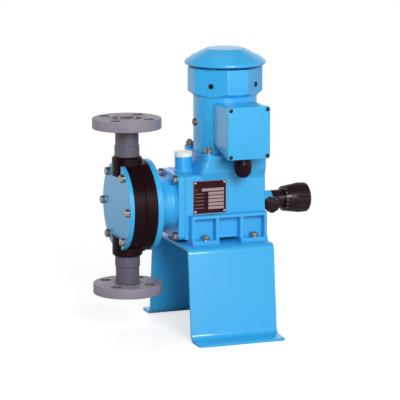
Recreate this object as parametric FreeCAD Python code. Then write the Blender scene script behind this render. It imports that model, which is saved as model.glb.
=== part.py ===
import FreeCAD, Part

import math
import os

# Diaphragm metering pump on a bent sheet stand.
# Millimetres, +Z up. The origin is the centre of the stand's four anchor holes, on the floor.
# +X runs from the pump head to the stroke knob, and -Y is the side with the nameplate.
# A vertical motor turns a worm; the worm wheel carries two eccentrics that push a yoke
# and its rod towards the diaphragm, a spring pushes them back as far as the adjusting spindle lets them.

Vector = FreeCAD.Vector

# Running fits and small gaps
running_clearance = 0.05
loose_clearance = 0.3

# Stand
stand_length = 164.6
stand_height = 166.5
stand_sheet = 4.5
stand_bend = 6.0
stand_top_half = 98.7
stand_floor_half = 116.3
stand_foot_half = 159.1
stand_foot_corner = 7.0
anchor_spacing_x = 120.0
anchor_edge = 19.1
anchor_hole_radius = 6.0

# Main axes and the gear housing
foot_pad_height = 7.5
housing_height = 117.0
housing_left = -71.0
housing_half_width = 52.0
housing_wall = 9.0
housing_corner = 5.0
axis_height = 60.5
knob_drop = 6.5
motor_x = 24.5
tower_half = 60.0
tower_height = 25.0
tower_left_lean = 6.5
flare_drop = 10.0
skirt_depth = 16.0
skirt_height = 45.0
rib_thickness = 6.5
rib_spacing = 46.6
first_rib_x = -61.0
pocket_top_wall = 6.0
foot_pad_reach = 20.0
front_opening_radius = 36.0
cover_opening_radius = 34.0
fill_boss_radius = 15.9
fill_boss_height = 28.0
fill_boss_inset = 15.0
fill_bore_radius = 9.0

# Worm drive
gear_module = 2.5
wheel_teeth = 24
worm_pitch_radius = 12.5
worm_length = 48.0
wheel_face = 14.0
wheel_hub_radius = 14.0
wheel_hub_width = 18.0
shaft_journal_radius = 7.5
shaft_body_radius = 8.5
bearing_radius = 17.5
bearing_width = 11.0
eccentric_radius = 16.0
eccentric_throw = 3.0
eccentric_width = 6.0
coupling_radius = 19.0
coupling_hub_length = 12.0
coupling_gap = 7.0
spider_height = 6.0
stroke = 5.0

# Yoke and push rod
yoke_half_width = 25.0
yoke_arm = 6.0
yoke_half_height = 15.0
yoke_crossbar = 7.5
rod_radius = 8.0
rod_tail_radius = 5.0
spring_wire = 1.6
spring_turns = 4

# Adapter between the housing and the pump head
adapter_length = 61.0
adapter_flange = 12.0
adapter_neck_radius = 46.0
adapter_ring_radius = 83.0
adapter_ring = 11.0
adapter_wall = 8.0
bush_wall = 4.0
bush_length = 20.0
seal_width = 6.0
adapter_bolt_y = 39.5
adapter_bolt_z = 52.0
adapter_bolt_drop = 2.5

# Pump head, cover plate and diaphragm
head_depth = 44.0
head_radius = 82.0
head_front_radius = 79.5
head_rim = 20.0
cover_plate = 8.0
cover_plate_radius = 80.5
head_bolt_circle = 71.5
head_bolt_angle = 53.5
port_setback = 31.6
collar_radius = 27.5
collar_start = 56.0
collar_end = 91.0
collar_chamfer = 3.0
port_bore = 12.5
diaphragm_sheet = 3.0
diaphragm_radius = 65.0
chamber_radius = 48.0
chamber_depth = 12.0
clamp_radius = 28.0

# Valves, pipes and port flanges
valve_pocket_radius = 17.0
valve_seat_height = 5.0
valve_seat_bore = 6.8
valve_ball_radius = 9.0
valve_lift = 3.0
cage_bridge = 2.5
pipe_spigot = 7.0
pipe_collar_radius = 22.6
pipe_collar_length = 19.5
pipe_radius = 21.2
pipe_length = 50.8
flange_radius = 62.5
flange_thickness = 18.4
flange_hole_circle = 45.0
flange_hole_radius = 9.5
flange_socket_depth = 14.0

# Motor
motor_flange = 10.0
motor_body_radius = 58.0
motor_body_height = 103.0
motor_body_wall = 7.0
stud_offset = 50.5
fan_cover_height = 51.0
fan_cover_flat = 65.9
fan_cover_diagonal = 60.4
fan_cover_sheet = 2.0
cap_gap = 4.0
cap_rim_radius = 74.0
cap_rim_height = 6.0
cap_rise = 23.0
cap_knee_radius = 62.0
cap_knee_rise = 9.0
cap_top_radius = 34.0
cap_sheet = 2.0
cap_spacer_circle = 50.0
rotor_radius = 29.5
air_gap = 0.5
stack_inset = 24.0
motor_shaft_radius = 7.0
fan_radius = 45.0

# Terminal box
box_width = 80.4
box_height = 94.5
box_bottom_above_flange = 1.0
box_depth = 64.0
box_gap = 0.8
box_lid = 8.0
box_wall = 3.0
box_slope = 15.0
box_base_inset = 1.5
gland_radius = 15.5
gland_drop = 37.0

# Stroke adjustment on the right
boss_radius = 17.0
boss_length = 28.5
barrel_length = 43.0
barrel_visible = 23.5
barrel_tail = 3.0
spindle_radius = 6.0
knob_skirt_radius = 23.0
knob_grip_radius = 27.5
knob_length = 51.0
knob_hub = 25.0
lock_tilt = 8.0
lock_knob_radius = 14.5

# Nameplate
plate_width = 63.5
plate_height = 60.6
plate_thickness = 1.0
plate_left = -56.0

# Fasteners, as radius of the shank and width across the flats
bolt_radius = 4.0
bolt_flats = 13.0
bolt_head = 6.5
small_screw_radius = 2.0

# Levels and places that follow
anchor_spacing_y = 2 * (stand_foot_half - anchor_edge)
box_back_y = -(motor_body_radius + box_gap)
box_front_y = box_back_y - box_depth
housing_bottom = stand_height + foot_pad_height
housing_top = housing_bottom + housing_height
head_z = housing_bottom + axis_height
knob_z = head_z - knob_drop
tower_top = housing_top + tower_height
frame_bottom = tower_top + motor_flange
frame_top = frame_bottom + motor_body_height
cover_top = frame_top + fan_cover_height
cap_bottom = cover_top + cap_gap
cap_cone_bottom = cap_bottom + cap_rim_height
cap_top = cap_cone_bottom + cap_rise
housing_right = motor_x + tower_half
tower_left = motor_x - tower_half
adapter_front = housing_left - adapter_length
head_front = adapter_front - head_depth
cover_front = head_front - cover_plate
port_x = adapter_front - port_setback
wheel_pitch_radius = gear_module * wheel_teeth / 2
wheel_tip_radius = wheel_pitch_radius + gear_module
wheel_x = motor_x - worm_pitch_radius - wheel_pitch_radius
inner_half_width = housing_half_width - housing_wall
skirt_y = housing_half_width + skirt_depth
eccentric_reach = eccentric_radius + eccentric_throw
crossbar_back = wheel_x - wheel_tip_radius - stroke - 1.5
crossbar_front = crossbar_back - yoke_crossbar
yoke_stop = motor_x + worm_pitch_radius + gear_module + 5.5
yoke_rear = yoke_stop + yoke_crossbar
plunger_tip = yoke_rear + stroke + 2 * running_clearance
boss_end = housing_right + boss_length
knob_start = boss_end + barrel_visible
knob_end = knob_start + knob_length
web_front = adapter_front + 32.0
web_rear = web_front + 12.0
sealed_front = web_front - 12.0
valve_ball_rest = math.sqrt(valve_ball_radius ** 2 - valve_seat_bore ** 2)
cage_height = valve_ball_rest + valve_ball_radius + valve_lift + loose_clearance + cage_bridge
valve_pocket_depth = pipe_spigot + valve_seat_height + cage_height
rib_places = [first_rib_x + index * rib_spacing for index in range(4)]
foot_bolt_x = (first_rib_x + 0.55 * rib_spacing, first_rib_x + 2.55 * rib_spacing)
foot_bolt_y = skirt_y - 6.5


def unit(axis):
    return {"x": Vector(1, 0, 0), "y": Vector(0, 1, 0), "z": Vector(0, 0, 1)}[axis]


def union(*shapes):
    return shapes[0].multiFuse(list(shapes[1:])).removeSplitter()


def block(x0, x1, y0, y1, z0, z1):
    return Part.makeBox(x1 - x0, y1 - y0, z1 - z0, Vector(x0, y0, z0))


def along_x(radius, x0, x1, y=0.0, z=head_z):
    return Part.makeCylinder(radius, x1 - x0, Vector(x0, y, z), unit("x"))


def along_y(radius, y0, y1, x, z):
    return Part.makeCylinder(radius, y1 - y0, Vector(x, y0, z), unit("y"))


def along_z(radius, z0, z1, x=motor_x, y=0.0):
    return Part.makeCylinder(radius, z1 - z0, Vector(x, y, z0), unit("z"))


def rounded_wire(points, place):
    """Closed outline through (u, v, radius) corners; place maps u and v to a point in space."""
    edges = []
    corners = [point if len(point) == 3 else (point[0], point[1], 0) for point in points]
    joints = []
    for index, (u, v, radius) in enumerate(corners):
        here = Vector(u, v, 0)
        before = Vector(corners[index - 1][0], corners[index - 1][1], 0)
        after = Vector(corners[(index + 1) % len(corners)][0], corners[(index + 1) % len(corners)][1], 0)
        to_before = (before - here).normalize()
        to_after = (after - here).normalize()
        half = to_before.getAngle(to_after) / 2
        if radius == 0 or abs(half - math.pi / 2) < 1e-6:
            joints.append((here, None, here))
            continue
        bisector = (to_before + to_after).normalize()
        tangent = radius / math.tan(half)
        middle = here + bisector * (radius / math.sin(half) - radius)
        joints.append((here + to_before * tangent, middle, here + to_after * tangent))
    for index, (start, middle, end) in enumerate(joints):
        following = joints[(index + 1) % len(joints)][0]
        if middle is not None:
            arc = Part.Arc(place(start.x, start.y), place(middle.x, middle.y), place(end.x, end.y))
            edges.append(arc.toShape())
        if (following - end).Length > 1e-6:
            edges.append(Part.LineSegment(place(end.x, end.y), place(following.x, following.y)).toShape())
    return Part.Wire(edges)


def prism(points, axis, start, end):
    """Straight prism: the outline is (y, z) for axis x, (x, z) for axis y and (x, y) for axis z."""
    place = {
        "x": lambda u, v: Vector(start, u, v),
        "y": lambda u, v: Vector(u, start, v),
        "z": lambda u, v: Vector(u, v, start),
    }[axis]
    return Part.Face(rounded_wire(points, place)).extrude(unit(axis) * (end - start))


def turned(points, axis, a=0.0, b=0.0):
    """Solid of revolution from (place along the axis, radius) corners; a and b place the axis."""
    base = {"x": Vector(0, a, b), "y": Vector(a, 0, b), "z": Vector(a, b, 0)}[axis]
    outward = {"x": Vector(0, 0, 1), "y": Vector(0, 0, 1), "z": Vector(1, 0, 0)}[axis]
    direction = unit(axis)
    wire = rounded_wire(points, lambda u, v: base + direction * u + outward * v)
    return Part.Face(wire).revolve(base, direction, 360)


def rectangle(u0, u1, v0, v1, radius=0.0):
    return [(u0, v0, radius), (u1, v0, radius), (u1, v1, radius), (u0, v1, radius)]


def regular_polygon(sides, apothem, u=0.0, v=0.0):
    corner = apothem / math.cos(math.pi / sides)
    angles = [2 * math.pi * (index + 0.5) / sides for index in range(sides)]
    return [(u + corner * math.cos(angle), v + corner * math.sin(angle)) for angle in angles]


def hex_head(flats, height):
    """Hexagon on the XY plane with its corners chamfered at the top."""
    corner = flats / math.sqrt(3)
    crown = turned([(0, 0), (0, corner + 0.1), (height - 0.13 * flats, corner + 0.1),
                    (height, 0.46 * flats), (height, 0)], "z")
    return prism(regular_polygon(6, flats / 2), "z", 0, height).common(crown)


def aim(shape, place, direction):
    """Turns a shape built along +Z towards direction and moves it from the origin to place."""
    turn = FreeCAD.Rotation(Vector(0, 0, 1), direction)
    copy = shape.copy()
    copy.Placement = FreeCAD.Placement(place, turn)
    return copy


def hex_bolt(place, direction, length, radius=bolt_radius, flats=bolt_flats, height=bolt_head):
    """Bolt whose head stands on place, with its shank against direction."""
    shank = along_z(radius, -length, 0, 0, 0)
    washer = along_z(flats * 0.58, 0, 1.2, 0, 0)
    head = hex_head(flats, height)
    head.translate(Vector(0, 0, 1.2))
    return aim(union(shank, washer, head), place, direction)


def cap_screw(place, direction, length, radius=small_screw_radius, height=2.2):
    """Pan-head screw with a cross recess, its head on place and its shank against direction."""
    shank = along_z(radius, -length, 0, 0, 0)
    head = turned([(0, 0), (0, radius * 1.9), (height * 0.5, radius * 1.9),
                   (height, radius * 1.2), (height, 0)], "z")
    slots = [block(-radius, radius, -0.35, 0.35, height - 1, height + 1),
             block(-0.35, 0.35, -radius, radius, height - 1, height + 1)]
    return aim(union(shank, head).cut(union(*slots)), place, direction)


def bearing(axis, start, a, b, bore, outer=bearing_radius, width=bearing_width):
    """Ring of a ball bearing with a shallow recess for the shield on each face."""
    groove = 0.6
    rim = 3.0
    return turned([(start, bore), (start, bore + rim), (start + groove, bore + rim),
                   (start + groove, outer - rim), (start, outer - rim), (start, outer),
                   (start + width, outer), (start + width, outer - rim),
                   (start + width - groove, outer - rim),
                   (start + width - groove, bore + rim), (start + width, bore + rim), (start + width, bore)],
                  axis, a, b)


def group(shapes):
    return Part.makeCompound(shapes)


def cutter(shapes):
    """One solid out of everything that is cut away together."""
    return union(*shapes)


def fillet_edges(shape, radius, wanted):
    edges = [edge for edge in shape.Edges if wanted(edge)]
    return shape.makeFillet(radius, edges)


def upright(edge):
    return len(edge.Vertexes) == 2 and abs(edge.tangentAt(edge.FirstParameter).z) > 0.999


# The stand and what fastens the housing to it

def stand():
    lean = (stand_floor_half - stand_top_half) / stand_height
    skin = stand_sheet * math.hypot(1, lean)

    def leg(z):
        return stand_top_half + lean * (stand_height - z)

    outer = stand_bend + stand_sheet
    right = [
        (stand_top_half, stand_height, outer),
        (leg(stand_sheet), stand_sheet, stand_bend),
        (stand_foot_half, stand_sheet, 0),
        (stand_foot_half, 0, 0),
        (leg(0) - skin, 0, outer),
        (leg(stand_height - stand_sheet) - skin, stand_height - stand_sheet, stand_bend),
    ]
    left = [(-y, z, radius) for y, z, radius in reversed(right)]
    sheet = prism(right + left, "x", -stand_length / 2, stand_length / 2)
    sheet = fillet_edges(sheet, stand_foot_corner,
                         lambda edge: upright(edge) and abs(edge.CenterOfMass.y) > stand_foot_half - 1)
    holes = [along_z(anchor_hole_radius, -1, stand_sheet + 1, sx * anchor_spacing_x / 2,
                     sy * anchor_spacing_y / 2)
             for sx in (-1, 1) for sy in (-1, 1)]
    holes += [along_z(bolt_radius + loose_clearance, stand_height - 2 * stand_sheet, stand_height + 1, x,
                      sy * foot_bolt_y)
              for x in foot_bolt_x for sy in (-1, 1)]
    return sheet.cut(union(*holes))


def foot_bolts():
    pieces = []
    nut_height = 6.5
    length = foot_pad_height + stand_sheet + nut_height + 3
    for x in foot_bolt_x:
        for side in (-1, 1):
            y = side * foot_bolt_y
            pieces.append(hex_bolt(Vector(x, y, housing_bottom), Vector(0, 0, 1), length))
            nut = hex_head(bolt_flats, nut_height).cut(along_z(bolt_radius, -1, nut_height + 1, 0, 0))
            pieces.append(aim(nut, Vector(x, y, stand_height - stand_sheet), Vector(0, 0, -1)))
    return group(pieces)


# The gear housing

def tower():
    def section(z, left, half):
        points = rectangle(left, housing_right, -half, half, 9.0)
        return rounded_wire(points, lambda u, v: Vector(u, v, z))

    flare_start = housing_top - flare_drop
    skirt_half = housing_half_width + 6.5
    levels = [section(flare_start, tower_left - tower_left_lean - 2, housing_half_width),
              section(housing_top + 4, tower_left - tower_left_lean, skirt_half),
              section(tower_top, tower_left, tower_half)]
    return Part.makeLoft(levels, True, True)


def skirt(side):
    """Ribbed foot along one side; side is -1 for the near one and 1 for the far one."""
    left = rib_places[0] - rib_thickness / 2
    right = rib_places[-1] + rib_thickness / 2
    y0, y1 = sorted((side * (housing_half_width - 2), side * skirt_y))
    body = block(left, right, y0, y1, housing_bottom, housing_bottom + skirt_height)
    body = fillet_edges(body, 3.0, lambda edge: abs(edge.CenterOfMass.y - side * skirt_y) < 0.1
                        and edge.CenterOfMass.z > housing_bottom + 1)
    pocket_top = housing_bottom + skirt_height - pocket_top_wall
    for rib, following in zip(rib_places, rib_places[1:]):
        y0, y1 = sorted((side * housing_half_width, side * (skirt_y + 1)))
        pocket = block(rib + rib_thickness / 2, following - rib_thickness / 2, y0, y1, housing_bottom - 1,
                       pocket_top)
        pocket = fillet_edges(pocket, 2.5, lambda edge: edge.CenterOfMass.z > housing_bottom
                              and abs(edge.CenterOfMass.y - side * housing_half_width) < 0.1)
        body = body.cut(pocket)
    pads = []
    for start in (0, 2):
        x0 = rib_places[start] - rib_thickness / 2
        x1 = rib_places[start + 1] + rib_thickness / 2
        y0, y1 = sorted((side * (housing_half_width - 12), side * (housing_half_width + foot_pad_reach)))
        pad = block(x0, x1, y0, y1, stand_height, housing_bottom)
        pad = fillet_edges(pad, 3.0, lambda edge: upright(edge)
                           and abs(edge.CenterOfMass.y) > housing_half_width)
        pads.append(pad)
    return union(body, *pads)


def housing_holes():
    """Everything that is taken out of the housing casting."""
    inner_left = housing_left + housing_wall
    inner_right = housing_right - housing_wall
    floor = housing_bottom + housing_wall
    web_bottom = head_z + worm_length / 2 + 3.5
    web_top = web_bottom + 18
    cuts = [
        block(inner_left, inner_right, -inner_half_width, inner_half_width, floor, web_bottom),
        block(inner_left, motor_x - bearing_radius - 4, -inner_half_width, inner_half_width, floor,
              housing_top - housing_wall),
        along_z(tower_half - 18, web_top, tower_top + 1),
        along_z(bearing_radius, web_bottom + 7, web_top + 1),
        along_z(worm_pitch_radius + gear_module + 0.5, web_bottom - 1, web_top),
        along_x(front_opening_radius, housing_left - 1, inner_left + 1),
        along_z(fill_bore_radius, housing_top - housing_wall - 1, housing_top + fill_boss_height + 1,
                fill_boss_x()),
        along_z(shaft_journal_radius + 2, floor - 5, floor + 1),
        along_x(spindle_radius + running_clearance, inner_right - 1, boss_end + 1, 0, knob_z),
        along_x(barrel_tail_radius(), boss_end - barrel_tail, boss_end + 1, 0, knob_z),
        along_y(cover_opening_radius, inner_half_width - 1, skirt_y + 1, wheel_x, head_z),
    ]
    cuts += [along_x(bolt_radius, housing_left - 1, housing_left + 20, sy * adapter_bolt_y,
                     head_z - adapter_bolt_drop + sz * adapter_bolt_z)
             for sy in (-1, 1) for sz in (-1, 1)]
    cuts += [along_z(bolt_radius, tower_top - 18, tower_top + 1, motor_x + sx * stud_offset, sy * stud_offset)
             for sx in (-1, 1) for sy in (-1, 1)]
    cuts += [along_z(bolt_radius + loose_clearance, stand_height - 1, housing_bottom + 1, x, sy * foot_bolt_y)
             for x in foot_bolt_x for sy in (-1, 1)]
    cuts += [along_y(small_screw_radius, skirt_y - 10, skirt_y + 1, x, z) for x, z in cover_screw_places()]
    cuts.append(along_x(drain_radius(), inner_right - 1, housing_right + 1, -0.5 * inner_half_width,
                        drain_z()))
    cuts.append(aim(along_z(bolt_radius, spindle_radius, boss_radius + 5, 0, 0), lock_centre(),
                    lock_direction()))
    return cuts


def fill_boss_x():
    return housing_left + fill_boss_inset


def barrel_tail_radius():
    return boss_radius - 5.0


def drain_z():
    return housing_bottom + housing_wall + 9


def drain_radius():
    return 6.0


def lock_centre():
    return Vector(boss_end - barrel_tail - bolt_radius - 1, 0, knob_z)


def lock_direction():
    angle = math.radians(lock_tilt)
    return Vector(0, -math.cos(angle), -math.sin(angle))


def cover_screw_places():
    circle = cover_opening_radius + 6
    angles = [math.radians(30 + 60 * index) for index in range(6)]
    return [(wheel_x + circle * math.cos(angle), head_z + circle * math.sin(angle)) for angle in angles]


def gear_housing():
    body = block(housing_left, housing_right, -housing_half_width, housing_half_width, housing_bottom,
                 housing_top)
    body = fillet_edges(body, housing_corner, lambda edge: edge.CenterOfMass.z > housing_top - 1
                        or (upright(edge) and edge.CenterOfMass.x > motor_x))
    cover_pad = along_y(cover_opening_radius + 12, housing_half_width - 1, skirt_y, wheel_x, head_z)
    fill_boss = turned([(housing_top - 6, 0), (housing_top - 6, fill_boss_radius + 3),
                        (housing_top, fill_boss_radius + 3, 2.5), (housing_top + 3, fill_boss_radius, 2.5),
                        (housing_top + fill_boss_height, fill_boss_radius),
                        (housing_top + fill_boss_height, 0)], "z", fill_boss_x(), 0)
    boss = turned([(housing_right - 3, 0), (housing_right - 3, boss_radius + 4),
                   (housing_right, boss_radius + 4, 3),
                   (housing_right + 4, boss_radius, 3), (boss_end, boss_radius), (boss_end, 0)], "x", 0,
                   knob_z)
    overhang = block(housing_left - 20, housing_left, -30, 30, housing_top - 10,
                     housing_top + loose_clearance)
    body = union(body, tower(), skirt(-1), skirt(1), cover_pad, fill_boss.cut(overhang), boss)
    body = body.cut(cutter(housing_holes()))
    floor = housing_bottom + housing_wall
    lower_seat = turned([(floor - 2, bearing_radius), (floor - 2, bearing_radius + 6),
                         (floor + bearing_width + 1, bearing_radius + 6),
                         (floor + bearing_width + 1, bearing_radius)],
                        "z", motor_x, 0)
    near_seat = turned([(-inner_half_width - 2, bearing_radius), (-inner_half_width - 2, bearing_radius + 5),
                        (wheel_bearing_y() * -1, bearing_radius + 5),
                        (wheel_bearing_y() * -1, bearing_radius)],
                       "y", wheel_x, head_z)
    return union(body, lower_seat, near_seat)


def wheel_bearing_y():
    """Distance from the middle plane to the inner face of the wheel shaft's bearings."""
    return inner_half_width - bearing_width - 2


def bearing_cover():
    inner = wheel_bearing_y()
    plate = turned([(inner, bearing_radius), (inner, bearing_radius + 5),
                    (inner_half_width, bearing_radius + 5),
                    (inner_half_width, cover_opening_radius - running_clearance),
                    (skirt_y, cover_opening_radius - running_clearance),
                    (skirt_y, cover_opening_radius + 11.5),
                    (skirt_y + 7, cover_opening_radius + 11.5, 1.5), (skirt_y + 7, bearing_radius + 2),
                    (skirt_y + 5.5, bearing_radius), (skirt_y + 5.5, 0), (skirt_y - 4, 0),
                    (skirt_y - 4, bearing_radius - 3), (inner + bearing_width, bearing_radius - 3),
                    (inner + bearing_width, bearing_radius)], "y", wheel_x, head_z)
    holes = [along_y(small_screw_radius + loose_clearance, skirt_y - 1, skirt_y + 8, x, z)
             for x, z in cover_screw_places()]
    return plate.cut(cutter(holes))


def bearing_cover_screws():
    return group([hex_bolt(Vector(x, skirt_y + 7, z), Vector(0, 1, 0), 15, small_screw_radius, 7.0, 4.0)
                  for x, z in cover_screw_places()])


def drain_plug():
    plug = hex_bolt(Vector(0, 0, 0), Vector(0, 0, 1), housing_wall, drain_radius(), 17.0, 6.0)
    return aim(plug, Vector(housing_right, -0.5 * inner_half_width, drain_z()), unit("x"))


def oil_cap():
    start = housing_top + fill_boss_height
    rim = fill_boss_radius
    cap = turned([(start - 12, 0), (start - 12, fill_bore_radius - loose_clearance),
                  (start, fill_bore_radius - loose_clearance), (start, rim - 1), (start + 1, rim),
                  (start + 8.6, rim, 2.0), (start + 8.6, 0)], "z", fill_boss_x(), 0)
    grips = []
    for index in range(12):
        angle = 2 * math.pi * index / 12
        x = fill_boss_x() + (rim + 1.2) * math.cos(angle)
        grips.append(along_z(1.7, start + 1.5, start + 10, x, (rim + 1.2) * math.sin(angle)))
    return cap.cut(cutter(grips))


def nameplate():
    front = -housing_half_width - plate_thickness
    bottom = plate_bottom()
    plate = prism(rectangle(plate_left, plate_left + plate_width, bottom, bottom + plate_height, 2.5),
                  "y", front, -housing_half_width)
    holes = [along_y(rivet_radius(), front - 1, -housing_half_width + 1, x, z) for x, z in rivet_places()]
    return plate.cut(cutter(holes))


def plate_bottom():
    return housing_bottom + skirt_height + 1.2


def rivet_radius():
    return 1.2


def rivet_places():
    inset = 4.0
    bottom = plate_bottom()
    return [(x, z) for x in (plate_left + inset, plate_left + plate_width - inset)
            for z in (bottom + inset, bottom + plate_height - inset)]


def nameplate_rivets():
    front = -housing_half_width - plate_thickness
    shapes = []
    for x, z in rivet_places():
        shapes.append(turned([(-housing_half_width, 0), (-housing_half_width, rivet_radius()),
                              (front, rivet_radius()), (front, rivet_radius() + 1.2),
                              (front - 0.6, rivet_radius() + 0.9), (front - 1.1, 0)], "y", x, z))
    return group(shapes)


# The adapter, the push rod and the yoke

def adapter():
    flange_bottom = head_z - axis_height
    flange_end = housing_left - adapter_flange
    square = prism(rectangle(-housing_half_width + 1, housing_half_width - 1, flange_bottom,
                             flange_bottom + housing_height, 7.0), "x", flange_end, housing_left)
    ring_back = adapter_front + adapter_ring
    bell = turned([(adapter_front, 0), (adapter_front, adapter_ring_radius, 1.5),
                   (ring_back, adapter_ring_radius, 1.5), (ring_back, adapter_neck_radius + 18, 3),
                   (ring_back + 7, adapter_neck_radius + 5, 8), (ring_back + 18, adapter_neck_radius, 8),
                   (flange_end - 6, adapter_neck_radius, 4), (flange_end + 1, adapter_neck_radius + 5, 1),
                   (flange_end + 1, 0)], "x", 0, head_z)
    inner = adapter_neck_radius - adapter_wall
    boss = rod_radius + bush_wall + 7
    front_room = turned([(adapter_front - 1, 0), (adapter_front - 1, chamber_radius + 4),
                         (adapter_front + 6, chamber_radius + 4, 3), (adapter_front + 14, inner, 4),
                         (web_front, inner, 3),
                         (web_front, boss), (sealed_front, boss), (sealed_front, 0)], "x", 0, head_z)
    rear_room = along_x(front_opening_radius, web_rear, housing_left + 1)
    bore = along_x(rod_radius + bush_wall, sealed_front + seal_width, web_rear + 1)
    seal_seat = along_x(seal_outer(), sealed_front - 1, sealed_front + seal_width)
    drain = along_z(3.0, head_z - adapter_neck_radius - 4, head_z - inner + 4, web_front - 12)
    body = union(square, bell).cut(cutter([front_room, rear_room, bore, seal_seat, drain]))
    holes = [along_x(bolt_radius + loose_clearance, flange_end - 1, housing_left + 1, sy * adapter_bolt_y,
                     head_z - adapter_bolt_drop + sz * adapter_bolt_z) for sy in (-1, 1) for sz in (-1, 1)]
    holes += [along_x(bolt_radius, adapter_front - 1, ring_back + 1, y, z) for y, z in head_bolt_places()]
    return body.cut(cutter(holes))


def seal_outer():
    return rod_radius + bush_wall + 2


def adapter_bolts():
    place = housing_left - adapter_flange
    return group([hex_bolt(Vector(place, sy * adapter_bolt_y,
                                  head_z - adapter_bolt_drop + sz * adapter_bolt_z), -unit("x"), 28)
                  for sy in (-1, 1) for sz in (-1, 1)])


def head_bolt_places():
    angles = [0, 180] + [base + sign * head_bolt_angle for base in (0, 180) for sign in (-1, 1)]
    return [(head_bolt_circle * math.cos(math.radians(angle)),
             head_z + head_bolt_circle * math.sin(math.radians(angle)))
            for angle in angles]


def rod_bush():
    start = sealed_front + seal_width
    return turned([(start, rod_radius + running_clearance), (start, rod_radius + bush_wall),
                   (web_rear, rod_radius + bush_wall), (web_rear, rod_radius + bush_wall + 6),
                   (spring_seat(), rod_radius + bush_wall + 6),
                   (spring_seat(), rod_radius + running_clearance)],
                  "x", 0, head_z)


def spring_seat():
    """Face of the bush's collar, which carries the fixed end of the return spring."""
    return web_rear + 2


def rod_seal():
    inner = rod_radius + running_clearance
    end = sealed_front + seal_width
    return turned([(sealed_front, inner + 1.5), (sealed_front, seal_outer()), (end, seal_outer()),
                   (end, inner),
                   (end - 2, inner), (end - 3, inner + 1.5)], "x", 0, head_z)


def return_spring():
    mean = rod_radius + bush_wall + 4
    start = spring_seat()
    length = crossbar_front - start - 2 * spring_wire
    path = Part.makeHelix(length / spring_turns, length, mean)
    angles = [2 * math.pi * (index + 0.5) / 12 for index in range(12)]
    corners = [Vector(mean + spring_wire * math.cos(angle), 0, spring_wire * math.sin(angle))
               for angle in angles]
    section = Part.makePolygon(corners + corners[:1])
    coil = Part.Wire(path.Edges).makePipeShell([section], True, True)
    return aim(coil, Vector(start + spring_wire, 0, head_z), unit("x"))


def push_rod():
    front = diaphragm_centre_back() + clamp_plate()
    return turned([(front, 0), (front, rod_radius - 1), (front + 1, rod_radius), (crossbar_front, rod_radius),
                   (crossbar_front, rod_tail_radius), (crossbar_back, rod_tail_radius), (crossbar_back, 0)],
                  "x", 0, head_z)


def yoke():
    y_in = yoke_half_width - yoke_arm
    frame = block(crossbar_front, yoke_rear, -yoke_half_width, yoke_half_width, head_z - yoke_half_height,
                  head_z + yoke_half_height)
    frame = fillet_edges(frame, 4.0, upright)
    middle = block(crossbar_back, yoke_stop, -y_in, y_in, head_z - yoke_half_height - 1,
                   head_z + yoke_half_height + 1)
    window_height = shaft_body_radius + 1.5
    window = block(wheel_x - window_height - stroke, wheel_x + window_height, -yoke_half_width - 1,
                   yoke_half_width + 1, head_z - window_height, head_z + window_height)
    window = fillet_edges(window, window_height * 0.6,
                          lambda edge: abs(edge.tangentAt(edge.FirstParameter).y) > 0.99)
    frame = frame.cut(cutter([middle, window, along_x(rod_tail_radius, crossbar_front - 1,
                                                      crossbar_back + 1)]))
    face = wheel_x - eccentric_reach - running_clearance
    y0 = wheel_hub_width / 2 + 0.4
    pads = [block(crossbar_back - 1, face, min(side * y0, side * (y0 + eccentric_width - 0.4)),
                  max(side * y0, side * (y0 + eccentric_width - 0.4)), head_z - 10,
                  head_z + 10) for side in (-1, 1)]
    return union(frame, *pads)


# Worm drive

def worm_shaft():
    floor = housing_bottom + housing_wall
    top = coupling_start() + coupling_hub_length + 1
    body = turned([(floor - 4, 0), (floor - 4, shaft_journal_radius),
                   (floor + bearing_width + 0.5, shaft_journal_radius),
                   (floor + bearing_width + 0.5, worm_root()), (upper_bearing_start() - 0.5, worm_root()),
                   (upper_bearing_start() - 0.5, shaft_journal_radius), (top, shaft_journal_radius),
                   (top, 0)],
                  "z", motor_x, 0)
    pitch = math.pi * gear_module
    turns = math.ceil(worm_length / pitch / 2) + 1
    bottom = head_z - pitch / 2 - turns * pitch
    half = 0.22 * pitch
    slope = math.tan(math.radians(20))
    inner = worm_root() - 0.6
    outer = worm_pitch_radius + gear_module
    wide = half + (worm_pitch_radius - inner) * slope
    narrow = half - gear_module * slope
    corners = [Vector(inner, 0, -wide), Vector(outer, 0, -narrow), Vector(outer, 0, narrow),
               Vector(inner, 0, wide)]
    profile = Part.makePolygon(corners + corners[:1])
    path = Part.makeHelix(pitch, (2 * turns + 1) * pitch, worm_pitch_radius)
    thread = Part.Wire(path.Edges).makePipeShell([profile], True, True)
    thread.translate(Vector(motor_x, 0, bottom))
    limits = along_z(outer + 1, head_z - worm_length / 2, head_z + worm_length / 2)
    return union(body, thread.common(limits))


def worm_root():
    return worm_pitch_radius - 1.25 * gear_module


def upper_bearing_start():
    return head_z + worm_length / 2 + 10.5


def coupling_start():
    return tower_top - 32


def worm_bearings():
    floor = housing_bottom + housing_wall
    return group([bearing("z", floor, motor_x, 0, shaft_journal_radius + running_clearance),
                  bearing("z", upper_bearing_start(), motor_x, 0, shaft_journal_radius + running_clearance)])


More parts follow.
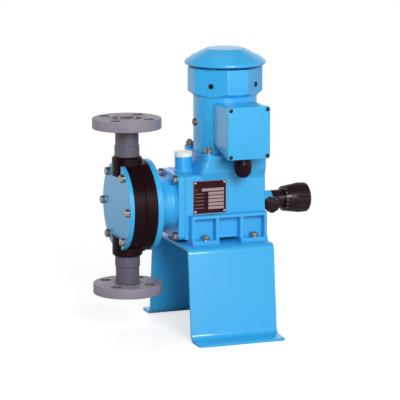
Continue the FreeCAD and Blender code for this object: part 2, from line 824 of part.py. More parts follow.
def wheel_outline(turn):
    """Gear outline about the wheel's axis as (x, z) pairs; a tooth gap faces +X at turn 0."""
    base = wheel_pitch_radius * math.cos(math.radians(20))
    root = wheel_pitch_radius - 1.25 * gear_module
    half_pitch_angle = 0.23 * math.pi * gear_module / wheel_pitch_radius

    def involute(radius):
        angle = math.acos(min(1.0, base / radius))
        return math.tan(angle) - angle

    radii = [root, base + 0.2, wheel_pitch_radius, (wheel_pitch_radius + wheel_tip_radius) / 2,
             wheel_tip_radius]
    points = []
    for tooth in range(wheel_teeth):
        middle = 2 * math.pi * (tooth + 0.5) / wheel_teeth + turn
        flank = []
        for radius in radii:
            half = half_pitch_angle + involute(wheel_pitch_radius) - involute(max(radius, base))
            flank.append((radius, half))
        points += [(radius, middle - half) for radius, half in flank]
        points += [(radius, middle + half) for radius, half in reversed(flank)]
    return [(radius * math.cos(angle), radius * math.sin(angle)) for radius, angle in points]


def worm_wheel():
    lead = gear_module / (2 * worm_pitch_radius)
    sections = []
    for y in (-wheel_face / 2, 0, wheel_face / 2):
        turn = -lead * y / wheel_pitch_radius
        outline = wheel_outline(turn)
        corners = [Vector(wheel_x + x, y, head_z + z) for x, z in outline]
        sections.append(Part.makePolygon(corners + corners[:1]))
    teeth = Part.makeLoft(sections, True, True)
    hub = along_y(wheel_hub_radius, -wheel_hub_width / 2, wheel_hub_width / 2, wheel_x, head_z)
    recess = turned([(wheel_face / 2 - 4, wheel_hub_radius), (wheel_face / 2 - 4, wheel_pitch_radius - 7),
                     (wheel_face, wheel_pitch_radius - 7), (wheel_face, wheel_hub_radius)], "y", wheel_x,
                     head_z)
    other = recess.mirror(Vector(0, 0, 0), Vector(0, 1, 0))
    bore = along_y(shaft_body_radius, -wheel_hub_width, wheel_hub_width, wheel_x, head_z)
    return union(teeth.cut(cutter([recess, other])), hub).cut(bore)


def wheel_shaft():
    end = wheel_bearing_y() + bearing_width
    inner = wheel_bearing_y() - 0.5
    return turned([(-end, 0), (-end, shaft_journal_radius), (-inner, shaft_journal_radius),
                   (-inner, shaft_body_radius),
                   (inner, shaft_body_radius), (inner, shaft_journal_radius), (end, shaft_journal_radius),
                   (end, 0)],
                  "y", wheel_x, head_z)


def eccentrics():
    offset = eccentric_throw * math.sqrt(0.5)
    shapes = []
    for side in (-1, 1):
        y0, y1 = sorted((side * wheel_hub_width / 2, side * (wheel_hub_width / 2 + eccentric_width)))
        disc = along_y(eccentric_radius, y0, y1, wheel_x + offset, head_z + offset)
        shapes.append(disc.cut(along_y(shaft_body_radius, y0 - 1, y1 + 1, wheel_x, head_z)))
    return group(shapes)


def wheel_bearings():
    start = wheel_bearing_y()
    bore = shaft_journal_radius + running_clearance
    return group([bearing("y", -start - bearing_width, wheel_x, head_z, bore),
                  bearing("y", start, wheel_x, head_z, bore)])


def coupling_hubs():
    """Two jaw hubs whose three jaws each reach past the middle of the spider."""
    start = coupling_start()
    lower_end = start + coupling_hub_length
    upper_start = lower_end + coupling_gap
    upper_end = upper_start + coupling_hub_length
    lower = turned([(start, shaft_journal_radius), (start, coupling_radius), (lower_end, coupling_radius),
                    (lower_end, shaft_journal_radius)], "z", motor_x, 0)
    upper = turned([(upper_start, motor_shaft_radius), (upper_start, coupling_radius),
                    (upper_end, coupling_radius), (upper_end, motor_shaft_radius)], "z", motor_x, 0)
    jaws_up = [coupling_jaw(120 * index, lower_end - 1, upper_start - 0.5) for index in range(3)]
    jaws_down = [coupling_jaw(60 + 120 * index, lower_end + 0.5, upper_start + 1) for index in range(3)]
    return group([union(lower, *jaws_up), union(upper, *jaws_down)])


def coupling_jaw(angle, bottom, top):
    half_width = 3.5
    jaw = block(10.5, coupling_radius - 0.1, -half_width, half_width, bottom, top)
    jaw = jaw.common(along_z(coupling_radius, bottom, top, 0, 0))
    jaw.rotate(Vector(0, 0, 0), Vector(0, 0, 1), angle)
    jaw.translate(Vector(motor_x, 0, 0))
    return jaw


def coupling_spider():
    start = coupling_start() + coupling_hub_length + (coupling_gap - spider_height) / 2
    end = start + spider_height
    ring_inner = 8.5
    ring_outer = 10.0
    half_leg = 1.6
    shapes = [turned([(start, ring_inner), (start, ring_outer), (end, ring_outer), (end, ring_inner)], "z",
                     motor_x, 0)]
    for index in range(6):
        leg = block(ring_outer - 0.5, coupling_radius - 1, -half_leg, half_leg, start, end)
        leg.rotate(Vector(0, 0, 0), Vector(0, 0, 1), 30 + 60 * index)
        leg.translate(Vector(motor_x, 0, 0))
        shapes.append(leg)
    return union(*shapes)


# Pump head with its diaphragm and valves

def diaphragm_rim_front():
    return adapter_front - diaphragm_sheet


def diaphragm_centre_back():
    return adapter_front - stroke / 2


def clamp_plate():
    return 3.5


def diaphragm():
    front = diaphragm_rim_front()
    centre = diaphragm_centre_back()
    outline = [(adapter_front, diaphragm_radius), (adapter_front, chamber_radius), (centre, clamp_radius + 2),
               (centre, 5.0), (centre - diaphragm_sheet, 5.0), (centre - diaphragm_sheet, clamp_radius + 2),
               (front, chamber_radius), (front, diaphragm_radius)]
    return turned(outline, "x", 0, head_z)


def diaphragm_plates():
    centre = diaphragm_centre_back()
    rear = turned([(centre, 0), (centre, clamp_radius), (centre + clamp_plate(), clamp_radius - 1.5),
                   (centre + clamp_plate(), 0)], "x", 0, head_z)
    front_face = centre - diaphragm_sheet
    front = turned([(centre, 0), (centre, 5.0), (front_face, 5.0), (front_face, clamp_radius - 2),
                    (front_face - 2, clamp_radius - 3), (front_face - clamp_plate(), clamp_radius - 12),
                    (front_face - clamp_plate(), 0)], "x", 0, head_z)
    return group([rear, front])


def pump_head():
    middle = adapter_front - head_rim
    body = turned([(adapter_front, 0), (adapter_front, head_radius, 1.0), (middle, head_radius, 1.5),
                   (middle - 1, head_front_radius), (head_front, head_front_radius, 1.0), (head_front, 0)],
                  "x", 0, head_z)
    collars = []
    for side in (-1, 1):
        start = head_z + side * (collar_start - 16)
        turn_out = head_z + side * collar_start
        end = head_z + side * collar_end
        slope = side * collar_chamfer
        collar = turned([(turn_out, 0), (turn_out, collar_radius), (end - slope, collar_radius),
                         (end, collar_radius - collar_chamfer), (end, 0)], "z", port_x, 0)
        web = prism(rectangle(port_x - 12, adapter_front - 6, -collar_radius, collar_radius, 3), "z",
                    min(start, head_z + side * 80), max(start, head_z + side * 80))
        collars += [collar, web]
    body = union(body, *collars)
    front_trim = [block(head_front - 30, head_front, -collar_radius - 1, collar_radius + 1,
                        head_z - collar_start, head_z + collar_start)]
    panels = [panel_recess(side) for side in (-1, 1)]
    rear_room = along_x(diaphragm_radius + loose_clearance, diaphragm_rim_front(), adapter_front + 1)
    chamber = turned([(adapter_front, 0), (adapter_front, chamber_radius),
                      (diaphragm_rim_front(), chamber_radius),
                      (adapter_front - chamber_depth, clamp_radius + 6), (adapter_front - chamber_depth, 0)],
                     "x", 0, head_z)
    passage = along_x(port_bore, port_x, adapter_front - chamber_depth + 1)
    column = along_z(port_bore, head_z - collar_end + 2, head_z + collar_end - 2, port_x)
    pockets = [pocket_for(side) for side in (-1, 1)]
    holes = [along_x(bolt_radius + loose_clearance, head_front - 1, adapter_front + 1, y, z)
             for y, z in head_bolt_places()]
    return body.cut(cutter(front_trim + panels + [rear_room, chamber, passage, column] + pockets + holes))


def pocket_for(side):
    """Valve pocket in one collar, open at its end."""
    inner = head_z + side * (collar_end - valve_pocket_depth)
    outer = head_z + side * (collar_end + 1)
    return along_z(valve_pocket_radius, min(inner, outer), max(inner, outer), port_x)


def panel_recess(side):
    """Shallow moulded recess in the side of the head between the cover plate and the rim."""
    shell = turned([(head_front + 5, head_front_radius - 1.6), (head_front + 5, head_front_radius + 2),
                    (adapter_front - head_rim - 4, head_front_radius + 2),
                    (adapter_front - head_rim - 4, head_front_radius - 1.6)], "x", 0, head_z)
    reach = side * (head_radius + 5)
    window = block(head_front, adapter_front, min(0, reach), max(0, reach), head_z - 8, head_z + 44)
    return shell.common(window)


def cover_plate_piece():
    plate = turned([(cover_front, 0), (cover_front, cover_plate_radius, 1.2),
                    (head_front, cover_plate_radius),
                    (head_front, 0)], "x", 0, head_z)
    half = math.sqrt(collar_radius ** 2 - (port_x - head_front) ** 2) + 0.5
    notches = [block(cover_front - 1, head_front + 1, -half, half,
                     min(head_z + side * collar_start, head_z + side * 100),
                     max(head_z + side * collar_start, head_z + side * 100)) for side in (-1, 1)]
    holes = [along_x(bolt_radius + loose_clearance, cover_front - 1, head_front + 1, y, z)
             for y, z in head_bolt_places()]
    return plate.cut(cutter(notches + holes))


def head_bolts():
    length = cover_plate + head_depth + adapter_ring - 1
    return group([hex_bolt(Vector(cover_front, y, z), -unit("x"), length) for y, z in head_bolt_places()])


def valve_floor(is_discharge):
    """Level of the underside of one valve seat."""
    if is_discharge:
        return head_z + collar_end - valve_pocket_depth
    return head_z - collar_end + pipe_spigot


def seat(is_discharge):
    floor = valve_floor(is_discharge)
    return turned([(floor, valve_seat_bore), (floor, valve_pocket_radius),
                   (floor + valve_seat_height, valve_pocket_radius),
                   (floor + valve_seat_height, valve_seat_bore)], "z", port_x, 0)


def valve_seats():
    return group([seat(True), seat(False)])


def ball(is_discharge):
    centre = valve_floor(is_discharge) + valve_seat_height + valve_ball_rest + running_clearance
    return Part.makeSphere(valve_ball_radius, Vector(port_x, 0, centre))


def cage(is_discharge):
    bottom = valve_floor(is_discharge) + valve_seat_height
    top = bottom + cage_height
    ring = turned([(bottom, port_bore + 1), (bottom, valve_pocket_radius), (top, valve_pocket_radius),
                   (top, port_bore + 1)], "z", port_x, 0)
    guide = valve_ball_radius + loose_clearance
    shapes = [ring]
    for index in range(4):
        rib = block(guide, port_bore + 2, -1.5, 1.5, bottom, top)
        rib.rotate(Vector(0, 0, 0), Vector(0, 0, 1), 45 + 90 * index)
        rib.translate(Vector(port_x, 0, 0))
        shapes.append(rib)
    for angle in (45, 135):
        bar = block(-port_bore - 2, port_bore + 2, -1.5, 1.5, top - cage_bridge, top)
        bar.rotate(Vector(0, 0, 0), Vector(0, 0, 1), angle)
        bar.translate(Vector(port_x, 0, 0))
        shapes.append(bar)
    return union(*shapes)


def valve_cages():
    return group([cage(True), cage(False)])


def pipe(side):
    """Valve body and pipe between one collar and its flange; side is 1 above and -1 below."""
    start = head_z + side * collar_end
    inner = start - side * pipe_spigot
    shoulder = start + side * pipe_collar_length
    end = start + side * pipe_length
    socket = end + side * flange_socket_depth
    return turned([(inner, port_bore), (inner, valve_pocket_radius), (start, valve_pocket_radius),
                   (start, pipe_collar_radius), (shoulder, pipe_collar_radius),
                   (shoulder + side * 1.5, pipe_radius), (end, pipe_radius), (end, pipe_radius - 3),
                   (socket, pipe_radius - 3), (socket, port_bore)], "z", port_x, 0)


def port_flange(side):
    """Loose face of one port: a flat ring with four holes, a socket for the pipe and a raised bore ring."""
    start = head_z + side * (collar_end + pipe_length)
    end = start + side * flange_thickness
    socket = start + side * flange_socket_depth
    groove = end - side * 1.2
    ring = turned([(start, pipe_radius - 3), (start, flange_radius, 1.5), (end, flange_radius, 1.5),
                   (end, 27), (groove, 26),
                   (groove, 18), (end, 17), (end, port_bore), (socket, port_bore), (socket, pipe_radius - 3)],
                  "z", port_x, 0)
    offset = flange_hole_circle * math.sqrt(0.5)
    holes = [along_z(flange_hole_radius, min(start, end) - 1, max(start, end) + 1, port_x + sx * offset,
                     sy * offset)
             for sx in (-1, 1) for sy in (-1, 1)]
    return ring.cut(cutter(holes))


# Motor

def motor_flange_piece():
    plate = prism(rectangle(motor_x - tower_half, motor_x + tower_half, -tower_half, tower_half, 12.0), "z",
                  tower_top, frame_bottom)
    lugs = [along_z(9.0, frame_bottom - 1, frame_bottom + 4, motor_x + sx * stud_offset, sy * stud_offset)
            for sx in (-1, 1) for sy in (-1, 1)]
    spigot = along_z(motor_inner(), frame_bottom - 1, frame_bottom + bearing_width - 2)
    body = union(plate, spigot, *lugs)
    cuts = [along_z(bearing_radius, frame_bottom - 3, frame_bottom + bearing_width + 1),
            along_z(motor_shaft_radius + 4, tower_top - 1, frame_bottom)]
    cuts += [along_z(bolt_radius, tower_top - 1, frame_bottom + 6, motor_x + sx * stud_offset,
                     sy * stud_offset)
             for sx in (-1, 1) for sy in (-1, 1)]
    return body.cut(cutter(cuts))


def motor_inner():
    return motor_body_radius - motor_body_wall


def motor_studs():
    shapes = []
    base = frame_bottom + 4
    for sx in (-1, 1):
        for sy in (-1, 1):
            x = motor_x + sx * stud_offset
            y = sy * stud_offset
            shapes.append(along_z(bolt_radius, tower_top - 18, base + 11, x, y))
            nut = union(along_z(bolt_flats * 0.6, 0, 1.2, 0, 0), hex_head(bolt_flats, 7.7))
            nut = nut.cut(along_z(bolt_radius, -1, 10, 0, 0))
            nut.translate(Vector(x, y, base))
            shapes.append(nut)
    return group(shapes)


def motor_frame():
    body = along_z(motor_body_radius, frame_bottom, frame_top)
    half = box_width / 2 - box_base_inset
    pedestal = prism(rectangle(motor_x - half, motor_x + half, box_bottom() + box_base_inset + box_slope,
                               box_top() - box_base_inset, 3.0), "y", box_back_y, -motor_inner() / 2)
    inside = along_z(motor_inner(), frame_bottom - 1, frame_top + 1)
    wires = along_y(8.0, box_back_y - 1, 0, motor_x, box_middle())
    plug_hole = along_x(plug_radius(), motor_x - motor_body_radius - 1, motor_x, 0, plug_z())
    plug_seat = along_x(plug_head() + loose_clearance, plug_face() - 3, plug_face(), 0, plug_z())
    return union(body, pedestal).cut(cutter([inside, wires, plug_hole, plug_seat]))


def plug_radius():
    return 4.0


def plug_z():
    return frame_bottom + 54.0


def plug_head():
    return 6.5


def plug_face():
    """Flat spot on the round motor body under the head of the plug."""
    return motor_x - math.sqrt(motor_body_radius ** 2 - (plug_head() + 1) ** 2)


def motor_plug():
    flat = plug_face()
    return turned([(motor_x - motor_inner() - 1, 0), (motor_x - motor_inner() - 1, plug_radius()),
                   (flat, plug_radius()), (flat, plug_head()), (flat - 4, plug_head(), 0.8), (flat - 4, 2.5),
                   (flat - 2, 2.5), (flat - 2, 0)], "x", 0, plug_z())


def motor_end_shield():
    inner = motor_inner()
    bearing_floor = frame_top - bearing_width + 2
    body = turned([(frame_top - 7, bearing_radius), (frame_top - 7, inner), (frame_top, inner),
                   (frame_top, motor_body_radius), (frame_top + 6, motor_body_radius),
                   (frame_top + 6, motor_shaft_radius + 3),
                   (frame_top + 2, motor_shaft_radius + 3), (frame_top + 2, bearing_radius)], "z", motor_x, 0)
    hub = turned([(bearing_floor, bearing_radius), (bearing_floor, bearing_radius + 5),
                  (frame_top, bearing_radius + 5),
                  (frame_top, bearing_radius)], "z", motor_x, 0)
    lugs = []
    reach = fan_cover_diagonal - fan_cover_sheet - running_clearance
    for index in range(4):
        lug = block(fan_radius + 3, reach, -8, 8, frame_top + 3, fan_screw_z() + 7)
        lug = lug.cut(along_x(small_screw_radius, 0, reach + 5, 0, fan_screw_z()))
        lug.rotate(Vector(0, 0, 0), Vector(0, 0, 1), 45 + 90 * index)
        lug.translate(Vector(motor_x, 0, 0))
        lugs.append(lug)
    return union(body, hub, *lugs)


def fan_screw_z():
    return frame_top + 20.6


def stator():
    inner = rotor_radius + air_gap
    low = frame_bottom + stack_inset
    high = frame_top - stack_inset
    core = turned([(low, inner), (low, motor_inner()), (high, motor_inner()), (high, inner)], "z", motor_x, 0)
    coils = [turned([(start, inner + 2), (start, motor_inner() - 5, 3), (end, motor_inner() - 5, 3),
                     (end, inner + 2)],
                    "z", motor_x, 0) for start, end in ((low - 10, low), (high, high + 10))]
    return union(core, *coils)


def rotor():
    low = frame_bottom + stack_inset
    high = frame_top - stack_inset
    core = turned([(low, motor_shaft_radius + 1), (low, rotor_radius), (high, rotor_radius),
                   (high, motor_shaft_radius + 1)], "z", motor_x, 0)
    rings = [turned([(start, rotor_radius - 10), (start, rotor_radius - 1), (end, rotor_radius - 1),
                     (end, rotor_radius - 10)], "z", motor_x, 0)
             for start, end in ((low - 5, low), (high, high + 5))]
    return union(core, *rings)


def motor_shaft():
    bottom = coupling_start() + coupling_hub_length + coupling_gap - 0.5
    lower = frame_bottom - 3
    top = fan_top() + 2
    return turned([(bottom, 0), (bottom, motor_shaft_radius), (lower + bearing_width + 1, motor_shaft_radius),
                   (lower + bearing_width + 1, motor_shaft_radius + 1),
                   (frame_top - bearing_width + 1, motor_shaft_radius + 1),
                   (frame_top - bearing_width + 1, motor_shaft_radius), (top, motor_shaft_radius), (top, 0)],
                  "z", motor_x, 0)


def motor_bearings():
    bore = motor_shaft_radius + running_clearance
    return group([bearing("z", frame_bottom - 3, motor_x, 0, bore),
                  bearing("z", frame_top - bearing_width + 2, motor_x, 0, bore)])


def fan_bottom():
    return frame_top + 11


def fan_top():
    return fan_bottom() + 20


def fan():
    bottom = fan_bottom()
    top = fan_top()
    plate = turned([(bottom, motor_shaft_radius), (bottom, fan_radius), (bottom + 2.5, fan_radius),
                    (bottom + 2.5, motor_shaft_radius)], "z", motor_x, 0)
    hub = turned([(bottom, motor_shaft_radius), (bottom, 14), (top, 12), (top, motor_shaft_radius)], "z",
                 motor_x, 0)
    shapes = [plate, hub]
    for index in range(8):
        blade = block(11, fan_radius - 1, -1.2, 1.2, bottom + 1, top - 2)
        blade.rotate(Vector(0, 0, 0), Vector(0, 0, 1), 45 * index + 22.5)
        blade.translate(Vector(motor_x, 0, 0))
        shapes.append(blade)
    return union(*shapes)


def cowl_octagon(inset):
    """Corners of the fan cover's section, inset by a wall; its diagonal flats are the long ones."""
    flat = fan_cover_flat - inset
    other = (fan_cover_diagonal - inset) * math.sqrt(2) - flat
    corners = [(flat, -other), (flat, other), (other, flat), (-other, flat),
               (-flat, other), (-flat, -other), (-other, -flat), (other, -flat)]
    return [(motor_x + x, y, 7.0 - inset) for x, y in corners]


def cowl_solid(inset, bottom, top):
    """Octagonal prism whose foot is drawn in to the motor's round body."""
    body = prism(cowl_octagon(inset), "z", bottom, top)
    foot = motor_body_radius + 0.2 + fan_cover_sheet - inset
    wide = fan_cover_flat + 6 - inset
    shape = turned([(bottom - 0.001, 0), (bottom - 0.001, foot), (bottom + 1.5, foot, 1),
                    (bottom + 9, wide, 4),
                    (top + 0.001, wide, 0), (top + 0.001, 0)], "z", motor_x, 0)
    return body.common(shape)


def fan_cover():
    outer = cowl_solid(0, frame_top, cover_top)
    outer = outer.cut(along_z(motor_body_radius + 0.2, frame_top - 1, frame_top + 6.2))
    inner = cowl_solid(fan_cover_sheet, frame_top, cover_top - fan_cover_sheet)
    slots = []
    for ring_radius, count in ((18, 8), (28, 12), (38, 16)):
        for index in range(count):
            angle = 2 * math.pi * index / count
            slots.append(along_z(3.2, cover_top - 5, cover_top + 1, motor_x + ring_radius * math.cos(angle),
                                 ring_radius * math.sin(angle)))
    screws = [aim(along_z(small_screw_radius + loose_clearance, fan_cover_diagonal - 6,
                          fan_cover_diagonal + 4, 0, 0),
                  Vector(motor_x, 0, fan_screw_z()), direction) for direction in diagonals()]
    return outer.cut(cutter([inner] + slots + screws))


def diagonals():
    return [Vector(math.cos(math.radians(angle)), math.sin(math.radians(angle)), 0)
            for angle in (45, 135, 225, 315)]


def fan_cover_screws():
    shapes = []
    for direction in diagonals():
        place = Vector(motor_x, 0, fan_screw_z()) + direction * fan_cover_diagonal
        shapes.append(cap_screw(place, direction, fan_cover_sheet + 6, small_screw_radius, 2.4))
    return group(shapes)


def rain_cap():
    knee = cap_cone_bottom + cap_knee_rise
    outer = [(cap_bottom, cap_rim_radius), (cap_cone_bottom, cap_rim_radius, 2), (knee, cap_knee_radius, 12),
             (cap_top, cap_top_radius, 3), (cap_top, 0)]
    inner = [(cap_top - cap_sheet, 0), (cap_top - cap_sheet, cap_top_radius - 1),
             (knee - cap_sheet, cap_knee_radius - 1.2), (cap_cone_bottom - 1, cap_rim_radius - cap_sheet),
             (cap_bottom, cap_rim_radius - cap_sheet)]
    sheet = turned(outer + inner, "z", motor_x, 0)
    filled = turned([(cap_bottom - 20, 0), (cap_bottom - 20, cap_rim_radius),
                     (cap_bottom, cap_rim_radius - cap_sheet)]
                    + list(reversed(inner))[1:], "z", motor_x, 0)
    spacers = []
    for direction in diagonals():
        x = motor_x + direction.x * cap_spacer_circle
        y = direction.y * cap_spacer_circle
        spacers.append(along_z(4.0, cover_top, cap_top, x, y).common(filled))
    return union(sheet, *spacers)


# Terminal box on the motor

def box_bottom():
    return frame_bottom + box_bottom_above_flange


def box_top():
    return box_bottom() + box_height


def box_middle():
    return (box_bottom() + box_top()) / 2


def box_rectangle(inset, bottom_inset=None):
    half = box_width / 2 - inset
    low = box_bottom() + (inset if bottom_inset is None else bottom_inset)
    return rectangle(motor_x - half, motor_x + half, low, box_top() - inset, max(0.5, 4.5 - inset))


def terminal_box():
    lid_back = box_front_y + box_lid
    outer = prism(box_rectangle(box_base_inset), "y", lid_back, box_back_y)
    depth = box_back_y - lid_back
    low = box_bottom() + box_base_inset

    def below_slope(lift):
        return prism([(lid_back - 1, low - 30), (lid_back - 1, low + lift), (lid_back + 2, low + lift),
                      (box_back_y + 1, low + lift + box_slope), (box_back_y + 1, low - 30)], "x",
                     motor_x - box_width, motor_x + box_width)

    outer = outer.cut(below_slope(0))
    pad = along_z(gland_radius, box_bottom(), box_bottom() + depth, motor_x, gland_y())
    outer = union(outer, pad.common(block(motor_x - 40, motor_x + 40, lid_back, box_back_y, 0,
                                          box_bottom() + 16)))
    inner = prism(box_rectangle(box_base_inset + box_wall), "y", lid_back - 1, box_back_y - box_wall)
    inner = inner.cut(below_slope(box_wall))
    inlet = along_z(10.0, box_bottom() - 1, box_bottom() + 20, motor_x, gland_y())
    wires = along_y(8.0, box_back_y - box_wall - 1, box_back_y + 1, motor_x, box_middle())
    posts = [along_y(4.0, lid_back, box_back_y - box_wall, x, z) for x, z in lid_screw_places()]
    holes = [along_y(lid_screw_radius(), lid_back - 1, lid_back + 14, x, z) for x, z in lid_screw_places()]
    shell = outer.cut(cutter([inner, inlet, wires]))
    posts = union(*posts).common(outer)
    return union(shell, posts).cut(cutter(holes))


def lid_screw_radius():
    return 1.8


def gland_y():
    return (box_front_y + box_lid + box_back_y) / 2 - 5


def lid_screw_places():
    inset = 5.5
    return [(motor_x + sx * (box_width / 2 - inset), z) for sx in (-1, 1)
            for z in (box_bottom() + inset, box_top() - inset)]


def terminal_lid():
    lid_back = box_front_y + box_lid
    lid = prism(box_rectangle(0), "y", box_front_y, lid_back)
    lid = fillet_edges(lid, 1.5, lambda edge: abs(edge.CenterOfMass.y - box_front_y) < 0.01)
    hollow = prism(box_rectangle(box_wall + 2), "y", box_front_y + 3, lid_back + 1)
    posts = [along_y(4.5, box_front_y + 2, lid_back, x, z) for x, z in lid_screw_places()]
    holes = [along_y(lid_screw_radius() + loose_clearance, box_front_y - 1, lid_back + 1, x, z)
             for x, z in lid_screw_places()]
    return union(lid.cut(hollow), *posts).cut(cutter(holes))


def lid_screws():
    return group([cap_screw(Vector(x, box_front_y, z), Vector(0, -1, 0), box_lid + 12, lid_screw_radius(),
                            1.8)
                  for x, z in lid_screw_places()])


def terminal_block():
    back = box_back_y - box_wall
    body = block(motor_x - 22, motor_x + 22, back - 14, back, box_middle() - 26, box_middle() - 10)
    studs = [along_y(2.0, back - 22, back - 13, motor_x + 14 * column, box_middle() - 18 + 4.5 * row)
             for column in (-1, 0, 1) for row in (-1, 1)]
    return union(body, *studs)


def cable_gland():
    top = box_bottom()
    bottom = top - gland_drop
    nut_top = top + box_wall + 5
    body = turned([(nut_top, 0), (nut_top, 9.5), (top, 9.5), (top, gland_radius - 2),
                   (top - 5, gland_radius - 1, 2),
                   (top - 14, gland_radius + 0.9, 12), (bottom + 9, gland_radius - 0.5, 10),
                   (bottom, gland_radius * 0.5, 6), (bottom, 0)], "z", motor_x, gland_y())
    flutes = []
    for index in range(12):
        angle = 2 * math.pi * index / 12
        x = motor_x + (gland_radius + 1.6) * math.cos(angle)
        flutes.append(along_z(1.8, bottom, top - 14, x, gland_y() + (gland_radius + 1.6) * math.sin(angle)))
    return body.cut(cutter(flutes))


# Stroke adjustment

def adjusting_spindle():
    pin = 2.5
    end = knob_end - 10
    start = plunger_tip + 3
    return turned([(start, pin + running_clearance), (start, spindle_radius), (end, spindle_radius), (end, 0),
                   (start + 14, 0), (start + 14, pin + running_clearance)], "x", 0, knob_z)


def stop_plunger():
    pin = 2.5
    return turned([(plunger_tip, 0), (plunger_tip, 5.0), (plunger_tip + 3, 5.0), (plunger_tip + 3, pin),
                   (plunger_tip + 16, pin), (plunger_tip + 16, 0)], "x", 0, knob_z)


def barrel_bore():
    return spindle_radius + 2.5


def scale_barrel():
    return turned([(boss_end - barrel_tail, barrel_bore()), (boss_end - barrel_tail, barrel_tail_radius()),
                   (boss_end, barrel_tail_radius()),
                   (boss_end, boss_radius), (boss_end + barrel_length, boss_radius, 1),
                   (boss_end + barrel_length, barrel_bore())], "x", 0, knob_z)


def stroke_knob():
    """Conical knob with a solid hub, a hollow skirt over the barrel and shallow finger flutes."""
    grip_start = knob_start + 0.62 * knob_length
    cavity_end = knob_end - knob_hub
    inner = boss_radius + 0.5
    body = turned([(knob_start, inner), (knob_start, knob_skirt_radius, 1.5),
                   (grip_start, knob_grip_radius, 20),
                   (knob_end - 3.5, knob_grip_radius - 0.5, 5), (knob_end, knob_grip_radius - 6, 4),
                   (knob_end, 0),
                   (cavity_end, 0), (cavity_end, inner)], "x", 0, knob_z)
    bore = along_x(spindle_radius, cavity_end - 1, knob_end - 10, 0, knob_z)
    count = 10
    flute_radius = 9.0
    reach = knob_grip_radius + flute_radius - 1.8
    flutes = []
    for index in range(count):
        angle = 2 * math.pi * (index + 0.5) / count
        flutes.append(along_x(flute_radius, knob_start + 0.2 * knob_length, knob_end + 1,
                              reach * math.cos(angle), knob_z + reach * math.sin(angle)))
    return body.cut(cutter([bore] + flutes))


def lock_knob():
    reach = boss_radius + 3.0
    tip = spindle_radius + loose_clearance
    shank = bolt_radius - running_clearance
    stem = turned([(tip, 0), (tip, shank), (reach, shank), (reach, 7.0), (reach + 3, 8.5), (reach + 3, 0)],
                  "z")
    head = turned([(reach + 3, 0), (reach + 3, lock_knob_radius, 2), (reach + 17, lock_knob_radius, 3),
                   (reach + 19, 5, 2), (reach + 19, 0)], "z")
    flutes = []
    for index in range(6):
        angle = 2 * math.pi * index / 6
        place = lock_knob_radius + 1.8
        flutes.append(along_z(4.0, reach, reach + 22, place * math.cos(angle), place * math.sin(angle)))
    head = head.cut(cutter(flutes))
    return aim(union(stem, head), lock_centre(), lock_direction())


PIECES = {
    "stand": stand,
    "foot_bolts": foot_bolts,
    "gear_housing": gear_housing,
    "bearing_cover": bearing_cover,
    "bearing_cover_screws": bearing_cover_screws,
    "drain_plug": drain_plug,
    "oil_cap": oil_cap,
    "nameplate": nameplate,
    "nameplate_rivets": nameplate_rivets,
    "adapter": adapter,
    "adapter_bolts": adapter_bolts,
    "rod_bush": rod_bush,
    "rod_seal": rod_seal,
    "return_spring": return_spring,
    "push_rod": push_rod,
    "yoke": yoke,
    "worm_shaft": worm_shaft,
    "worm_bearings": worm_bearings,
    "worm_wheel": worm_wheel,
    "wheel_shaft": wheel_shaft,
    "eccentrics": eccentrics,
    "wheel_bearings": wheel_bearings,
    "coupling_hubs": coupling_hubs,
    "coupling_spider": coupling_spider,
    "diaphragm": diaphragm,
    "diaphragm_plates": diaphragm_plates,
    "pump_head": pump_head,
    "cover_plate": cover_plate_piece,
    "head_bolts": head_bolts,
    "valve_seats": valve_seats,
    "valve_cages": valve_cages,
    "suction_ball": lambda: ball(False),
    "discharge_ball": lambda: ball(True),
    "suction_pipe": lambda: pipe(-1),
    "discharge_pipe": lambda: pipe(1),
    "suction_flange": lambda: port_flange(-1),
    "discharge_flange": lambda: port_flange(1),
    "motor_flange": motor_flange_piece,
    "motor_studs": motor_studs,
    "motor_frame": motor_frame,
    "motor_plug": motor_plug,
    "motor_end_shield": motor_end_shield,
    "stator": stator,
    "rotor": rotor,
    "motor_shaft": motor_shaft,
    "motor_bearings": motor_bearings,
    "fan": fan,
    "fan_cover": fan_cover,
    "fan_cover_screws": fan_cover_screws,
    "rain_cap": rain_cap,
    "terminal_box": terminal_box,
    "terminal_lid": terminal_lid,
    "lid_screws": lid_screws,
    "terminal_block": terminal_block,
    "cable_gland": cable_gland,
    "adjusting_spindle": adjusting_spindle,
    "stop_plunger": stop_plunger,
    "scale_barrel": scale_barrel,
    "stroke_knob": stroke_knob,
    "lock_knob": lock_knob,
}

os.makedirs("parts", exist_ok=True)
for name, make in PIECES.items():
    piece = make()
    solids = len(piece.Solids)
    print(f"{name}: {solids} solids, {piece.Volume / 1000:.1f} cm3, valid {piece.isValid()}")
    piece.exportStep(f"parts/{name}.step")
print(len(PIECES), "nodes")
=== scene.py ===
# %% [markdown]
# This lesson dresses a diaphragm metering pump for a studio picture.
# The solids come from a CAD model and stay where they are. Blender adds the softened castings, the small
# details and the finish of every surface.

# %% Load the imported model
import math

